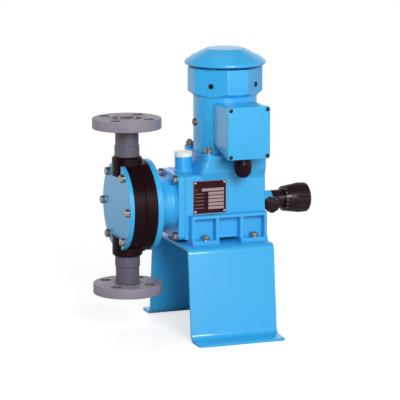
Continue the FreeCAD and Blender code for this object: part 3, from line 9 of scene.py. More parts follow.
import bmesh
import bpy
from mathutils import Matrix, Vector


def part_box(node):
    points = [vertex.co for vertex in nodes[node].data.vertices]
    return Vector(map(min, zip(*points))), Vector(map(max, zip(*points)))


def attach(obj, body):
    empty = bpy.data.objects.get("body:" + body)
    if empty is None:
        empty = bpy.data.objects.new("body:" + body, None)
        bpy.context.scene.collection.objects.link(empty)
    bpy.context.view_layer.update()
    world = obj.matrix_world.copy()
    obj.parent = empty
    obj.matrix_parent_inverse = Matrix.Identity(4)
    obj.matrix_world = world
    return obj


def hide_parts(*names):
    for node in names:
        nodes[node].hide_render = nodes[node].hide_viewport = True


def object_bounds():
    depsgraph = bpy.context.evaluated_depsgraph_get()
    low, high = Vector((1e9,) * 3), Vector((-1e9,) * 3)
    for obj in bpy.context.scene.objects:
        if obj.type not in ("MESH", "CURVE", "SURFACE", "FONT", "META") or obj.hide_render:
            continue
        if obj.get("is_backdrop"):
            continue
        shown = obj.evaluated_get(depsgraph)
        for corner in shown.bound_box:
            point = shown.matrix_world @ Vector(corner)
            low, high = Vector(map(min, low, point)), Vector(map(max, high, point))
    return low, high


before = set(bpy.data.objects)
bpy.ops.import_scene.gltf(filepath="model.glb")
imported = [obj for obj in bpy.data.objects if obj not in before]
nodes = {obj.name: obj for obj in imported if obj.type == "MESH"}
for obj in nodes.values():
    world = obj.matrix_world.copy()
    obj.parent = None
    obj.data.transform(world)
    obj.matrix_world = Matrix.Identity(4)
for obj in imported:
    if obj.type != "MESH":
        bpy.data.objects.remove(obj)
cad_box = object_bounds()
print(len(nodes), "CAD nodes in a box of", [round(high - low, 4) for low, high in zip(*cad_box)])

# %% [markdown]
# The photograph was taken from the left and a little above, with a long lens from several metres away, so
# upright edges stay nearly upright. The camera is put there by its azimuth, its height angle and its
# distance from the point that it looks at.

# %% Camera
azimuth = math.radians(-20.05)
height_angle = math.radians(10.774)
camera_distance = 4.424
camera_target = Vector((-0.0238, 0.0, 0.2354))
focal_pixels = 2424.9
picture_pixels = 400

towards_camera = Vector((math.sin(azimuth) * math.cos(height_angle),
                         -math.cos(azimuth) * math.cos(height_angle), math.sin(height_angle)))
camera_data = bpy.data.cameras.new("camera")
camera_data.sensor_width = 36.0
camera_data.lens = focal_pixels / picture_pixels * camera_data.sensor_width
camera_data.clip_end = 50.0
camera = bpy.data.objects.new("camera", camera_data)
camera.location = camera_target + towards_camera * camera_distance
camera.rotation_mode = "QUATERNION"
camera.rotation_quaternion = (-towards_camera).to_track_quat("-Z", "Y")
bpy.context.scene.collection.objects.link(camera)
bpy.context.scene.camera = camera
bpy.context.scene.view_settings.view_transform = "Standard"
print("lens", round(camera_data.lens, 1), "mm")

# %% [markdown]
# Shader maths reads best as plain expressions. A small class wraps an output socket, so that a sum or a
# product of two of them adds a Math node. Any other node comes from one method that takes its type, its
# settings, which are set first, and what goes into its sockets.

# %% A socket that Python's operators work on
class Wire:
    """An output socket of a node tree, as a value to reckon with."""
    def __init__(self, tree, socket=None):
        self.tree = tree
        self.socket = socket

    def node(self, kind, settings=None, inputs=None, output=0):
        """Add a node, set it up, fill its sockets and give one of its outputs."""
        made = self.tree.nodes.new(kind)
        for name, value in (settings or {}).items():
            setattr(made, name, value)
        for name, value in (inputs or {}).items():
            if isinstance(value, Wire):
                self.tree.links.new(value.socket, made.inputs[name])
            else:
                made.inputs[name].default_value = value
        return Wire(self.tree, made.outputs[output])

    def maths(self, operation, *values):
        return self.node("ShaderNodeMath", {"operation": operation}, dict(enumerate(values)))

    def __add__(self, other):
        return self.maths("ADD", self, other)

    def __sub__(self, other):
        return self.maths("SUBTRACT", self, other)

    def __rsub__(self, other):
        return self.maths("SUBTRACT", other, self)

    def __mul__(self, other):
        return self.maths("MULTIPLY", self, other)

    def __truediv__(self, other):
        return self.maths("DIVIDE", self, other)

    def __lt__(self, other):
        return self.maths("LESS_THAN", self, other)

    def __gt__(self, other):
        return self.maths("GREATER_THAN", self, other)

    def __abs__(self):
        return self.maths("ABSOLUTE", self)

    def root(self):
        return self.maths("SQRT", self)

    __radd__ = __add__
    __rmul__ = __mul__


def blend_colours(factor, first, second):
    """Colour that goes from first to second as factor goes from 0 to 1."""
    return factor.node("ShaderNodeMix", {"data_type": "RGBA"}, {0: factor, 6: first, 7: second}, output=2)


# %% [markdown]
# Colours are written here as the numbers of a picture, from 0 to 255, because that is how one reads them from
# a screen. Blender's shaders want linear light, so each is turned into it once.

# %% Colours
def screen(red, green, blue):
    """Linear colour, with its alpha, from the numbers of a picture."""
    shares = [value / 255 for value in (red, green, blue)]
    linear = [share / 12.92 if share <= 0.04045 else ((share + 0.055) / 1.055) ** 2.4 for share in shares]
    return (*linear, 1.0)


# %% [markdown]
# Every finish starts the same way: a material with one Principled shader, whose fixed numbers are set on its
# own sockets. What changes over the surface is fed in afterwards as expressions on the object's coordinates.

# %% The start of a finish
class Finish:
    def __init__(self, name, **fixed):
        self.material = bpy.data.materials.new(name)
        self.material.use_nodes = True
        self.tree = self.material.node_tree
        self.shader = self.tree.nodes["Principled BSDF"]
        for socket, value in fixed.items():
            self.shader.inputs[socket.replace("_", " ")].default_value = value
        self.place = Wire(self.tree).node("ShaderNodeTexCoord", output=3)

    def noise(self, scale, detail=3.0, stretch=(1.0, 1.0, 1.0)):
        """Noise from 0 to 1, with scale in bumps for each metre."""
        place = self.place.node("ShaderNodeMapping", None, {"Vector": self.place, "Scale": stretch})
        return place.node("ShaderNodeTexNoise", None, {"Vector": place, "Scale": scale, "Detail": detail})

    def axes(self):
        """The x, y and z of the place on the object, as three wires."""
        parts = self.tree.nodes.new("ShaderNodeSeparateXYZ")
        self.tree.links.new(self.place.socket, parts.inputs[0])
        return [Wire(self.tree, socket) for socket in parts.outputs]

    def feed(self, socket, value):
        """Drive a socket of the shader by an expression."""
        self.tree.links.new(value.socket, self.shader.inputs[socket])

    def bump(self, height, strength, distance, soft_edge=0.0006):
        """Small relief, on a normal that is rounded over every edge by soft_edge metres."""
        rounded = height.node("ShaderNodeBevel", {"samples": 6}, {"Radius": soft_edge})
        self.feed("Normal", height.node("ShaderNodeBump", None, {
            "Height": height, "Strength": strength, "Distance": distance, "Normal": rounded}))

    def tint(self, mask, colour, other):
        """Base colour that follows a mask from colour to other."""
        self.feed("Base Color", blend_colours(mask, colour, other))

    def shine(self, mask, low, high):
        """Roughness that follows a mask from low to high."""
        self.feed("Roughness", mask * (high - low) + low)


# %% [markdown]
# The castings and the sheet are sprayed with the same glossy blue enamel. It lies in a slightly uneven skin,
# like orange peel, and flows round every edge. Peel and grain are noise in the bump, a faint cloud varies the
# blue, a thin clear coat gives the gloss, and a Bevel node rounds the normals over sharp edges, so that
# edges of the plain CAD meshes catch the light too. Castings get a softer edge than sheet.

# %% Blue enamel on castings and sheet
def enamel(name, peel, grain, soft_edge):
    finish = Finish(name, Coat_Weight=0.4, Coat_Roughness=0.1, Specular_IOR_Level=0.45)
    cloud = finish.noise(9.0, 2.0)
    finish.tint(cloud, screen(50, 173, 234), screen(58, 181, 241))
    finish.shine(finish.noise(60.0, 3.0), 0.30, 0.42)
    finish.bump(finish.noise(peel, 2.0) * 0.6 + finish.noise(grain, 4.0) * 0.4, 0.25, 0.0004, soft_edge)
    return finish.material


cast_enamel = enamel("cast_enamel", peel=260.0, grain=900.0, soft_edge=0.0018)
sheet_enamel = enamel("sheet_enamel", peel=420.0, grain=1600.0, soft_edge=0.0008)
print("enamels:", cast_enamel.name, "and", sheet_enamel.name)

# %% [markdown]
# The pump head, the gland and the knobs are moulded in black plastic, the pipes in grey PVC. Mouldings are
# dull, with fine speckles from the mould, so they get less gloss than the paint. The head is a warm black,
# and a low specular level keeps it dark.

# %% Black and grey plastics
head_black = Finish("head_black", Specular_IOR_Level=0.11)
head_black.tint(head_black.noise(14.0), screen(27, 8, 14), screen(35, 14, 20))
head_black.shine(head_black.noise(90.0), 0.24, 0.36)
head_black.bump(head_black.noise(700.0, 4.0), 0.25, 0.0003)

knob_black = Finish("knob_black", Specular_IOR_Level=0.3)
knob_black.tint(knob_black.noise(20.0), screen(30, 12, 19), screen(40, 20, 28))
knob_black.shine(knob_black.noise(120.0), 0.26, 0.36)
knob_black.bump(knob_black.noise(900.0, 4.0), 0.3, 0.0003)


def plastic_grey(name):
    """Grey moulding without its colour; the flanges get their own, and the pipes a darker one, which is
    painted shade.
    """
    finish = Finish(name, Specular_IOR_Level=0.35)
    finish.shine(finish.noise(80.0), 0.4, 0.56)
    finish.bump(finish.noise(600.0, 3.0), 0.2, 0.0003)
    return finish


shaded_pipe_grey = plastic_grey("shaded_pipe_grey")
# The pipes' grey is darker than the flanges' as painted shade, for the shadow of the flanges and the head
# above them.
shaded_pipe_grey.tint(shaded_pipe_grey.noise(24.0), screen(92, 86, 100), screen(104, 98, 112))
print("plastics:", head_black.material.name, knob_black.material.name, shaded_pipe_grey.material.name)

# %% [markdown]
# The port flanges are grey PVC, lighter than the pipes. Their sunk ring, the bore and the bolt holes are
# painted darker, as painted shade. A mask from the distance to the port's axis, and to the nearest hole,
# picks those places; the four holes lie in mirrored places, so the absolute values of x and y bring all of
# them onto one.

# %% Grey of the port flanges
flange_low, flange_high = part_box("discharge_flange")
port = (flange_low + flange_high) / 2
pitch_radius = 0.045
hole_offset = pitch_radius * math.sqrt(0.5)
bolt_hole = 0.0095
bore_radius = 0.0125
ring_inner = 0.0175
ring_outer = 0.0265
flange_grey = plastic_grey("flange_grey")
from_port, sideways, _ = flange_grey.axes()
from_port = abs(from_port - port.x)
sideways = abs(sideways)


def apart(first, second):
    """Length of the diagonal over two distances."""
    return (first * first + second * second).root()


radius = apart(from_port, sideways)
from_hole = apart(from_port - hole_offset, sideways - hole_offset)
ring = (radius > ring_inner) * (radius < ring_outer)
sunk = ring + (radius < bore_radius + 0.0004) + (from_hole < bolt_hole + 0.0002)
cloudy = blend_colours(flange_grey.noise(24.0), screen(136, 128, 142), screen(152, 144, 158))
# Painted shade: the sunk ring, the bore and the bolt holes get a darker grey.
flange_grey.tint(sunk, cloudy, screen(92, 84, 96))
print("port at x", round(port.x, 4), "m, bolt holes", round(hole_offset, 4), "m to each side")

# %% [markdown]
# The small parts have finishes of their own: the white cap lets a little light in, rubber is dull and dark
# grey, the lines of the dial are printed in white, and the valve balls are polished ceramic.

# %% White plastic, rubber, print and ceramic
cap_white = Finish("cap_white", Specular_IOR_Level=0.4, Subsurface_Weight=0.15, Subsurface_Scale=0.004)
cap_white.tint(cap_white.noise(30.0), screen(238, 240, 228), screen(248, 249, 240))
cap_white.shine(cap_white.noise(120.0), 0.4, 0.55)

rubber = Finish("rubber", Specular_IOR_Level=0.25)
rubber.tint(rubber.noise(40.0), screen(30, 29, 30), screen(44, 42, 43))
rubber.shine(rubber.noise(200.0), 0.7, 0.85)
rubber.bump(rubber.noise(1500.0), 0.3, 0.0002)

white_film = Finish("white_film", Specular_IOR_Level=0.4)
white_film.tint(white_film.noise(40.0), screen(214, 212, 204), screen(232, 230, 224))
white_film.shine(white_film.noise(120.0), 0.35, 0.5)

ceramic = Finish("ceramic", Coat_Weight=0.4, Coat_Roughness=0.05)
ceramic.tint(ceramic.noise(60.0), screen(226, 222, 210), screen(240, 238, 230))
ceramic.shine(ceramic.noise(200.0), 0.12, 0.2)
print("small parts:", cap_white.material.name, rubber.material.name, white_film.material.name,
      ceramic.material.name)

# %% [markdown]
# All metals share one recipe and differ in colour, roughness and the size of their machining marks. The
# bolts are a warm stainless steel, the wheel and the bush bronze, the plugs brass, and the sheets of the
# motor's core show as fine lines, because their noise is stretched across the stack.

# %% Metals
mark_depth = 0.0002


def metal(name, dark, light, low, high, lines=900.0, stretch=(1.0, 1.0, 1.0)):
    """Metal from dark to light, with a roughness from low to high and lines for each metre."""
    finish = Finish(name, Metallic=1.0)
    finish.tint(finish.noise(70.0, 4.0, stretch), dark, light)
    finish.shine(finish.noise(lines * 0.3, 3.0, stretch), low, high)
    finish.bump(finish.noise(lines, 3.0, stretch), 0.2, mark_depth)
    return finish.material


stainless = metal("stainless", screen(150, 134, 122), screen(196, 182, 168), 0.24, 0.4)
steel = metal("steel", screen(150, 150, 152), screen(186, 186, 186), 0.22, 0.36)
bearing_steel = metal("bearing_steel", screen(176, 177, 180), screen(204, 205, 206), 0.14, 0.24)
bronze = metal("bronze", screen(150, 104, 54), screen(186, 138, 78), 0.26, 0.4)
brass = metal("brass", screen(116, 88, 68), screen(150, 118, 90), 0.3, 0.45)
laminations = metal("laminations", screen(96, 96, 100), screen(134, 134, 138), 0.36, 0.5,
                    lines=1400.0, stretch=(0.05, 0.05, 1.0))

black_oxide = Finish("black_oxide", Specular_IOR_Level=0.4, Metallic=0.5)
black_oxide.tint(black_oxide.noise(90.0), screen(24, 22, 24), screen(40, 37, 38))
black_oxide.shine(black_oxide.noise(200.0), 0.35, 0.5)
print("materials in the file, with those of the CAD model:", len(bpy.data.materials))

# %% [markdown]
# The nameplate is dark maroon with a bare rim. It says nothing: its fields are plain light bars and its
# labels faint strokes. Each bar is a rectangle mask from the place on the plate, in shares of its width and
# height, which is exact and needs no picture.

# %% Printing of the nameplate
plate_low, plate_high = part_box("nameplate")
plate_width = plate_high.x - plate_low.x
plate_height = plate_high.z - plate_low.z
plate = Finish("plate", Specular_IOR_Level=0.15)
across, _, up = plate.axes()
across = (across - plate_low.x) / plate_width
up = (up - plate_low.z) / plate_height


def bar(left, right, bottom, top):
    """1 inside a rectangle on the plate, whose sides are shares of its width and height."""
    return (across > left) * (across < right) * (up > bottom) * (up < top)


fields = bar(0.26, 0.93, 0.68, 0.765)
labels = bar(0.05, 0.14, 0.71, 0.74)
rows = 5
first_row = 0.605
row_step = 0.108
half_field = 0.041
half_label = 0.016
for row in range(rows):
    middle = first_row - row_step * row
    fields = fields + bar(0.46, 0.93, middle - half_field, middle + half_field)
    labels = labels + bar(0.05, 0.33, middle - half_label, middle + half_label)
bare_rim = 1 - bar(0.018, 0.982, 0.019, 0.981)
plate.tint(fields + labels * 0.35 + bare_rim * 0.6, screen(50, 10, 20), screen(176, 146, 152))
plate.shine(plate.noise(150.0), 0.28, 0.42)
print("nameplate of", round(plate_width, 4), "by", round(plate_height, 4), "m with", rows + 1, "plain fields")

# %% [markdown]
# Every CAD node gets a finish through its material slots. A table from finish to nodes is shorter than a
# line for each node, and shows at once what is made of what. The print tells if a node was forgotten.

# %% Give each node its finish
finishes = {
    cast_enamel: ["gear_housing", "bearing_cover", "adapter", "motor_flange", "motor_frame",
                  "motor_end_shield", "terminal_box", "terminal_lid"],
    sheet_enamel: ["stand", "fan_cover", "rain_cap", "cover_plate"],
    head_black.material: ["pump_head", "cable_gland"],
    knob_black.material: ["stroke_knob", "lock_knob", "scale_barrel", "terminal_block", "fan"],
    flange_grey.material: ["suction_flange", "discharge_flange"],
    shaded_pipe_grey.material: ["suction_pipe", "discharge_pipe", "valve_seats", "valve_cages"],
    cap_white.material: ["oil_cap"],
    rubber.material: ["rod_seal", "diaphragm", "coupling_spider"],
    ceramic.material: ["suction_ball", "discharge_ball"],
    stainless: ["foot_bolts", "adapter_bolts", "head_bolts", "motor_studs", "bearing_cover_screws"],
    steel: ["push_rod", "yoke", "worm_shaft", "wheel_shaft", "eccentrics", "adjusting_spindle",
            "stop_plunger", "motor_shaft", "coupling_hubs", "return_spring", "diaphragm_plates"],
    bearing_steel: ["worm_bearings", "wheel_bearings", "motor_bearings", "nameplate_rivets"],
    bronze: ["worm_wheel", "rod_bush"],
    brass: ["drain_plug", "motor_plug"],
    laminations: ["stator", "rotor"],
    black_oxide.material: ["fan_cover_screws", "lid_screws"],
    plate.material: ["nameplate"],
}
for finish, names in finishes.items():
    for name in names:
        slots = nodes[name].data.materials
        slots.clear()
        slots.append(finish)
dressed = {name for names in finishes.values() for name in names}
print("nodes without a finish:", sorted(set(nodes) - dressed))

# %% [markdown]
# The photograph is small, but the meshes should hold up from close by, so the main pieces get their real
# edges and details as geometry. They are modelled as by hand: a primitive at its size and place, edit-mode
# operators on faces and edges picked by their place, and modifiers that are applied at once. A few helpers
# keep that short. Operators work on all that is selected, so each step starts by selecting one piece alone.

# %% Helpers: selecting
tiny = 0.0001


def alone(piece):
    """Select one piece and nothing else."""
    bpy.ops.object.select_all(action="DESELECT")
    piece.select_set(True)
    bpy.context.view_layer.objects.active = piece


def edit(piece, select="FACE"):
    """Enter edit mode with nothing selected."""
    alone(piece)
    bpy.ops.object.mode_set(mode="EDIT")
    bpy.ops.mesh.select_mode(type=select)
    bpy.ops.mesh.select_all(action="DESELECT")


def pick_faces(piece, test):
    """Add the faces whose middle and normal pass the test to the selection."""
    mesh = bmesh.from_edit_mesh(piece.data)
    for face in mesh.faces:
        if test(face.calc_center_median(), face.normal):
            face.select_set(True)
    bmesh.update_edit_mesh(piece.data)


def pick_edges(piece, test):
    """Add the edges whose two ends pass the test to the selection."""
    mesh = bmesh.from_edit_mesh(piece.data)
    for edge in mesh.edges:
        if test(edge.verts[0].co, edge.verts[1].co):
            edge.select_set(True)
    bmesh.update_edit_mesh(piece.data)


def upright(a, b):
    """Edge along z."""
    return (a - b).xy.length < tiny


def front_to_back(a, b):
    """Edge along y."""
    return (a - b).xz.length < tiny


def done():
    """Leave edit mode."""
    bpy.ops.object.mode_set(mode="OBJECT")


# %% Helpers: modifiers and cuts
def modify(piece, kind, **settings):
    """Add one modifier, set it up and apply it."""
    alone(piece)
    modifier = piece.modifiers.new(kind.lower(), kind)
    for name, value in settings.items():
        setattr(modifier, name, value)
    bpy.ops.object.modifier_apply(modifier=modifier.name)


def cut(piece, tools, operation="DIFFERENCE"):
    """Take each tool out of the piece, or keep only what both share, and throw the tool away."""
    for tool in tools:
        modify(piece, "BOOLEAN", operation=operation, object=tool, solver="EXACT")
        bpy.data.objects.remove(tool)


def round_edges(piece, width, segments=2, least_turn=30):
    """Round every edge that turns by more than least_turn degrees."""
    modify(piece, "BEVEL", width=width, segments=segments, limit_method="ANGLE",
           angle_limit=math.radians(least_turn))


def rod(radius, start, end, vertices=48):
    """Cylinder from start to end."""
    start, end = Vector(start), Vector(end)
    bpy.ops.object.select_all(action="DESELECT")
    bpy.ops.mesh.primitive_cylinder_add(vertices=vertices, radius=radius, depth=(end - start).length,
                                        location=(start + end) / 2,
                                        rotation=(end - start).to_track_quat("Z", "X").to_euler())
    bpy.ops.object.transform_apply(location=True, rotation=True, scale=True)
    return bpy.context.object


def slab(low, high):
    """Box between two corners."""
    low, high = Vector(low), Vector(high)
    bpy.ops.object.select_all(action="DESELECT")
    bpy.ops.mesh.primitive_cube_add(size=1.0, location=(low + high) / 2, scale=high - low)
    bpy.ops.object.transform_apply(location=True, rotation=True, scale=True)
    return bpy.context.object


# %% Helpers: turning on a lathe
def turned(outline, centre, steps):
    """Spin an outline of (radius, height) points about the upright axis through centre."""
    bpy.ops.object.select_all(action="DESELECT")
    bpy.ops.mesh.primitive_plane_add(size=0.001, location=(0, 0, 0))
    piece = bpy.context.object
    points = [Vector(centre) + Vector((radius, 0, height)) for radius, height in outline]
    bpy.ops.object.mode_set(mode="EDIT")
    bpy.ops.mesh.select_mode(type="VERT")
    bpy.ops.mesh.select_all(action="SELECT")
    bpy.ops.mesh.merge(type="CENTER")
    bpy.ops.transform.translate(value=points[0])
    for start, end in zip(points, points[1:]):
        bpy.ops.mesh.extrude_region_move(TRANSFORM_OT_translate={"value": end - start})
    bpy.ops.mesh.select_all(action="SELECT")
    bpy.ops.mesh.spin(steps=steps, angle=2 * math.pi, center=centre, axis=(0, 0, 1))
    bpy.ops.mesh.select_all(action="SELECT")
    bpy.ops.mesh.remove_doubles(threshold=0.00001)
    bpy.ops.mesh.normals_make_consistent(inside=False)
    bpy.ops.object.mode_set(mode="OBJECT")
    return piece


# %% Helpers: joining and handing over
def joined(pieces):
    """Make several pieces one object."""
    alone(pieces[0])
    for piece in pieces[1:]:
        piece.select_set(True)
    bpy.ops.object.join()
    return pieces[0]


def hand_over(piece, name, finish, slot, *replaced, body="root", smooth=32):
    """Name a finished piece, give it its finish and put it on its body in place of the CAD nodes."""
    alone(piece)
    bpy.ops.object.transform_apply(location=True, rotation=True, scale=True)
    bpy.ops.object.shade_smooth_by_angle(angle=math.radians(smooth))
    piece.name = name
    piece.data.materials.clear()
    piece.data.materials.append(finish)
    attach(piece, body)
    if replaced:
        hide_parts(*replaced)
    print(name, "has", len(piece.data.polygons), "faces")
    return piece


# %% [markdown]
# The rain hood is a spun sheet of steel: a flat top, a cone with a soft knee and an upright rim with its edge
# folded in. Only the outer line of the sheet is drawn and spun, and Solidify gives the wall inwards. It
# stands on four short spacers, so that the fan can draw air through the gap.

# %% Rain hood
hood_low, hood_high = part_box("rain_cap")
motor_axis = (hood_low + hood_high) / 2
hood_rim = (hood_high.x - hood_low.x) / 2
air_gap = 0.004
hood_flat = 0.034
knee_radius = 0.062
rim_fold = 0.003
hood_sheet = 0.002
rim_bottom = hood_low.z + air_gap
rim_top = rim_bottom + 0.006
knee = rim_top + 0.009
hood = turned([(0, hood_high.z), (hood_flat, hood_high.z), (knee_radius, knee), (hood_rim, rim_top),
               (hood_rim, rim_bottom), (hood_rim - rim_fold, rim_bottom)],
              (motor_axis.x, motor_axis.y, 0), steps=96)
round_edges(hood, 0.003, 4, 12)
modify(hood, "SOLIDIFY", thickness=hood_sheet, offset=-1.0)
spacer_circle = 0.050
spacer_radius = 0.004
spacer_foot = 0.006
spacer_top = knee + 0.0045
spacers = []
for turn in (45, 135, 225, 315):
    x = motor_axis.x + spacer_circle * math.cos(math.radians(turn))
    y = motor_axis.y + spacer_circle * math.sin(math.radians(turn))
    spacers.append(turned([(0, hood_low.z), (spacer_foot, hood_low.z), (spacer_foot, hood_low.z + 0.0012),
                           (spacer_radius, hood_low.z + 0.002), (spacer_radius, spacer_top),
                           (0, spacer_top)], (x, y, 0), steps=24))
hand_over(joined([hood, *spacers]), "rain_hood", sheet_enamel, "blue_paint", "rain_cap")

# %% [markdown]
# The stand is one sheet bent into a top, two legs and two feet. By hand one bends a sheet too: a flat top
# plate is added, its two long edges are extruded down and then outwards, the bends are rounded, and Solidify
# gives the sheet its thickness. The legs lean out by 6 degrees, so each bend turns by 84 degrees and starts
# 0.9 of its radius from the fold. Holes come last, so that the rounding leaves them alone.

# %% Stand
stand_low, stand_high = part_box("stand")
stand_sheet = 0.0045
top_half = 0.0987
floor_half = 0.1163
bend_radius = 0.0105
bend_offset = bend_radius * 0.9
foot_corner = 0.007
bpy.ops.object.select_all(action="DESELECT")
bpy.ops.mesh.primitive_plane_add(size=1.0, location=(0, 0, stand_high.z))
stand = bpy.context.object
stand.scale = (stand_high.x - stand_low.x, 2 * top_half, 1.0)
bpy.ops.object.transform_apply(location=True, rotation=True, scale=True)
drop = stand_high.z - stand_sheet
spread = floor_half - top_half
reach = stand_high.y - floor_half
for side in (-1, 1):
    edit(stand, "EDGE")
    pick_edges(stand, lambda a, b: min(a.y * side, b.y * side) > top_half - 0.001)
    bpy.ops.mesh.extrude_region_move(TRANSFORM_OT_translate={"value": (0, side * spread, -drop)})
    bpy.ops.mesh.extrude_region_move(TRANSFORM_OT_translate={"value": (0, side * reach, 0)})
    done()
edit(stand, "EDGE")
pick_edges(stand, lambda a, b: abs(a.y - b.y) < tiny and abs(a.y) < stand_high.y - 0.001)
bpy.ops.mesh.bevel(offset=bend_offset, segments=6)
done()
edit(stand, "VERT")
mesh = bmesh.from_edit_mesh(stand.data)
for vertex in mesh.verts:
    vertex.select_set(abs(vertex.co.y) > stand_high.y - 0.001)
bpy.ops.mesh.bevel(offset=foot_corner, segments=5, affect="VERTICES")
bpy.ops.mesh.select_all(action="SELECT")
bpy.ops.mesh.normals_make_consistent(inside=False)
done()
alone(stand)
facing_up = max(stand.data.polygons, key=lambda face: face.center.z).normal.z > 0
modify(stand, "SOLIDIFY", thickness=stand_sheet, offset=-1.0 if facing_up else 1.0, use_even_offset=True)
round_edges(stand, 0.0006, 2, 60)
anchor_hole = 0.006
anchor_x = 0.060
anchor_y = stand_high.y - 0.0191
holes = [rod(anchor_hole, (sx * anchor_x, sy * anchor_y, -0.01), (sx * anchor_x, sy * anchor_y, 0.01))
         for sx in (-1, 1) for sy in (-1, 1)]
cut(stand, holes)
hand_over(stand, "bent_stand", sheet_enamel, "blue_paint", "stand")

# %% [markdown]
# A port flange is a thick plastic ring. On the real pump its face has a sunk ring and a few fine grooves,
# turned in so that the gasket grips, and its rim is softly rounded. The closed outline is spun once, four
# bolt holes are cut, and the lower flange is a mirrored copy with a mesh of its own.

# %% Port flanges
flange_radius = (flange_high.x - flange_low.x) / 2
back = flange_low.z
face = flange_high.z
socket_radius = 0.0182
socket_end = back + 0.014
groove_depth = 0.0005
groove_side = 0.0005
rim_round = 0.0013
hole_round = 0.0005
outline = [(socket_radius, back), (flange_radius, back), (flange_radius, face)]
for groove in (0.0345, 0.0320, 0.0295):
    outline += [(groove + groove_side, face), (groove, face - groove_depth),
                (groove - groove_side, face - groove_depth), (groove - 2 * groove_side, face)]
recess = face - 0.003
outline += [(ring_outer + 0.0005, face), (ring_outer - 0.0003, recess), (ring_inner + 0.0003, recess),
            (ring_inner - 0.0005, face), (bore_radius, face), (bore_radius, socket_end),
            (socket_radius, socket_end), (socket_radius, back)]
discharge = turned(outline, (port.x, port.y, 0), steps=96)
edit(discharge, "EDGE")
pick_edges(discharge, lambda a, b: min((a - port).xy.length, (b - port).xy.length) > flange_radius - 0.0005
           and abs(a.z - b.z) < tiny)
bpy.ops.mesh.bevel(offset=rim_round, segments=3)
done()
bolt_centres = [Vector((port.x + sx * hole_offset, sy * hole_offset)) for sx in (-1, 1) for sy in (-1, 1)]
holes = [rod(bolt_hole, (*centre, back - 0.01), (*centre, face + 0.01)) for centre in bolt_centres]
cut(discharge, holes)
edit(discharge, "EDGE")


def on_hole_rim(a, b):
    """Both ends lie on the same face of the flange and at the radius of a hole."""
    level = abs(a.z - b.z) < tiny and min(abs(a.z - face), abs(a.z - back)) < tiny
    misses = [min(abs((end.xy - centre).length - bolt_hole) for centre in bolt_centres) for end in (a, b)]
    return level and max(misses) < 0.0003


pick_edges(discharge, on_hole_rim)
bpy.ops.mesh.bevel(offset=hole_round, segments=2)
done()
_, suction_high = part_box("suction_flange")
suction = discharge.copy()
suction.data = discharge.data.copy()
bpy.context.scene.collection.objects.link(suction)
suction.scale.z = -1.0
suction.location.z = suction_high.z + back
alone(suction)
bpy.ops.object.transform_apply(location=True, rotation=True, scale=True)
edit(suction)
bpy.ops.mesh.select_all(action="SELECT")
bpy.ops.mesh.normals_make_consistent(inside=False)
done()
hand_over(discharge, "upper_port_flange", flange_grey.material, "grey_pvc", "discharge_flange")
hand_over(suction, "lower_port_flange", flange_grey.material, "grey_pvc", "suction_flange")

# %% [markdown]
# The lid of the terminal box is a shallow casting with round corners. A box is added at its size, the edges
# at its four corners and round its front are bevelled, and its back is inset and pushed in, which leaves the
# wall and the rim that sits on the gasket.

# %% Lid of the terminal box
lid_low, lid_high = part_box("terminal_lid")
lid_corner = 0.0045
lid_edge = 0.0016
lid_wall = 0.005
lid = slab(lid_low, lid_high)
edit(lid, "EDGE")
pick_edges(lid, front_to_back)
bpy.ops.mesh.bevel(offset=lid_corner, segments=6)
done()
edit(lid)
pick_faces(lid, lambda middle, normal: normal.y > 0.9)
bpy.ops.mesh.inset(thickness=lid_wall)
bpy.ops.mesh.extrude_region_move(TRANSFORM_OT_translate={"value": (0, -lid_wall, 0)})
done()
edit(lid, "EDGE")
pick_edges(lid, lambda a, b: max(a.y, b.y) < lid_low.y + tiny)
bpy.ops.mesh.bevel(offset=lid_edge, segments=4)
done()
hand_over(lid, "box_lid", cast_enamel, "blue_paint", "terminal_lid")

# %% [markdown]
# Between the box and its lid lies a rubber gasket, which stands out a little at the sides. A slab with
# rounded corners has both faces inset, and bridging the two loops opens the middle.

# %% Gasket of the lid
gasket_reach = 0.0008
gasket_margin = 0.0015
gasket_thickness = 0.0012
gasket_corner = 0.0040
gasket_width = 0.0025
seam = Vector((gasket_reach, 0, gasket_reach))
box_low, box_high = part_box("terminal_box")
gasket = slab(Vector((box_low.x, lid_high.y, lid_low.z + gasket_margin)) - seam,
              Vector((box_high.x, lid_high.y + gasket_thickness, lid_high.z - gasket_margin)) + seam)
edit(gasket, "EDGE")
pick_edges(gasket, front_to_back)
bpy.ops.mesh.bevel(offset=gasket_corner, segments=6)
done()
edit(gasket)
pick_faces(gasket, lambda middle, normal: abs(normal.y) > 0.9)
bpy.ops.mesh.inset(thickness=gasket_width)
bpy.ops.mesh.bridge_edge_loops()
done()
round_edges(gasket, 0.0003, 2)
hand_over(gasket, "lid_gasket", rubber.material, "seal_rubber")

# %% [markdown]
# The fan cover is folded from sheet: eight flats with round bends, a closed top with rings of vent holes, and
# a foot drawn in to the round motor. A box gets its corners cut and its bends rounded, a lathe-turned body
# trims its foot, and the same shape, smaller by the sheet, is taken out of it.

# %% Fan cover
cover_low, cover_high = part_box("fan_cover")
cover_flat = (cover_high.x - cover_low.x) / 2
cover_diagonal = 0.0604
cover_sheet = 0.002
cover_bend = 0.007
cover_edge = 0.0014
cover_foot = 0.0602
eighth_turn = math.radians(45)


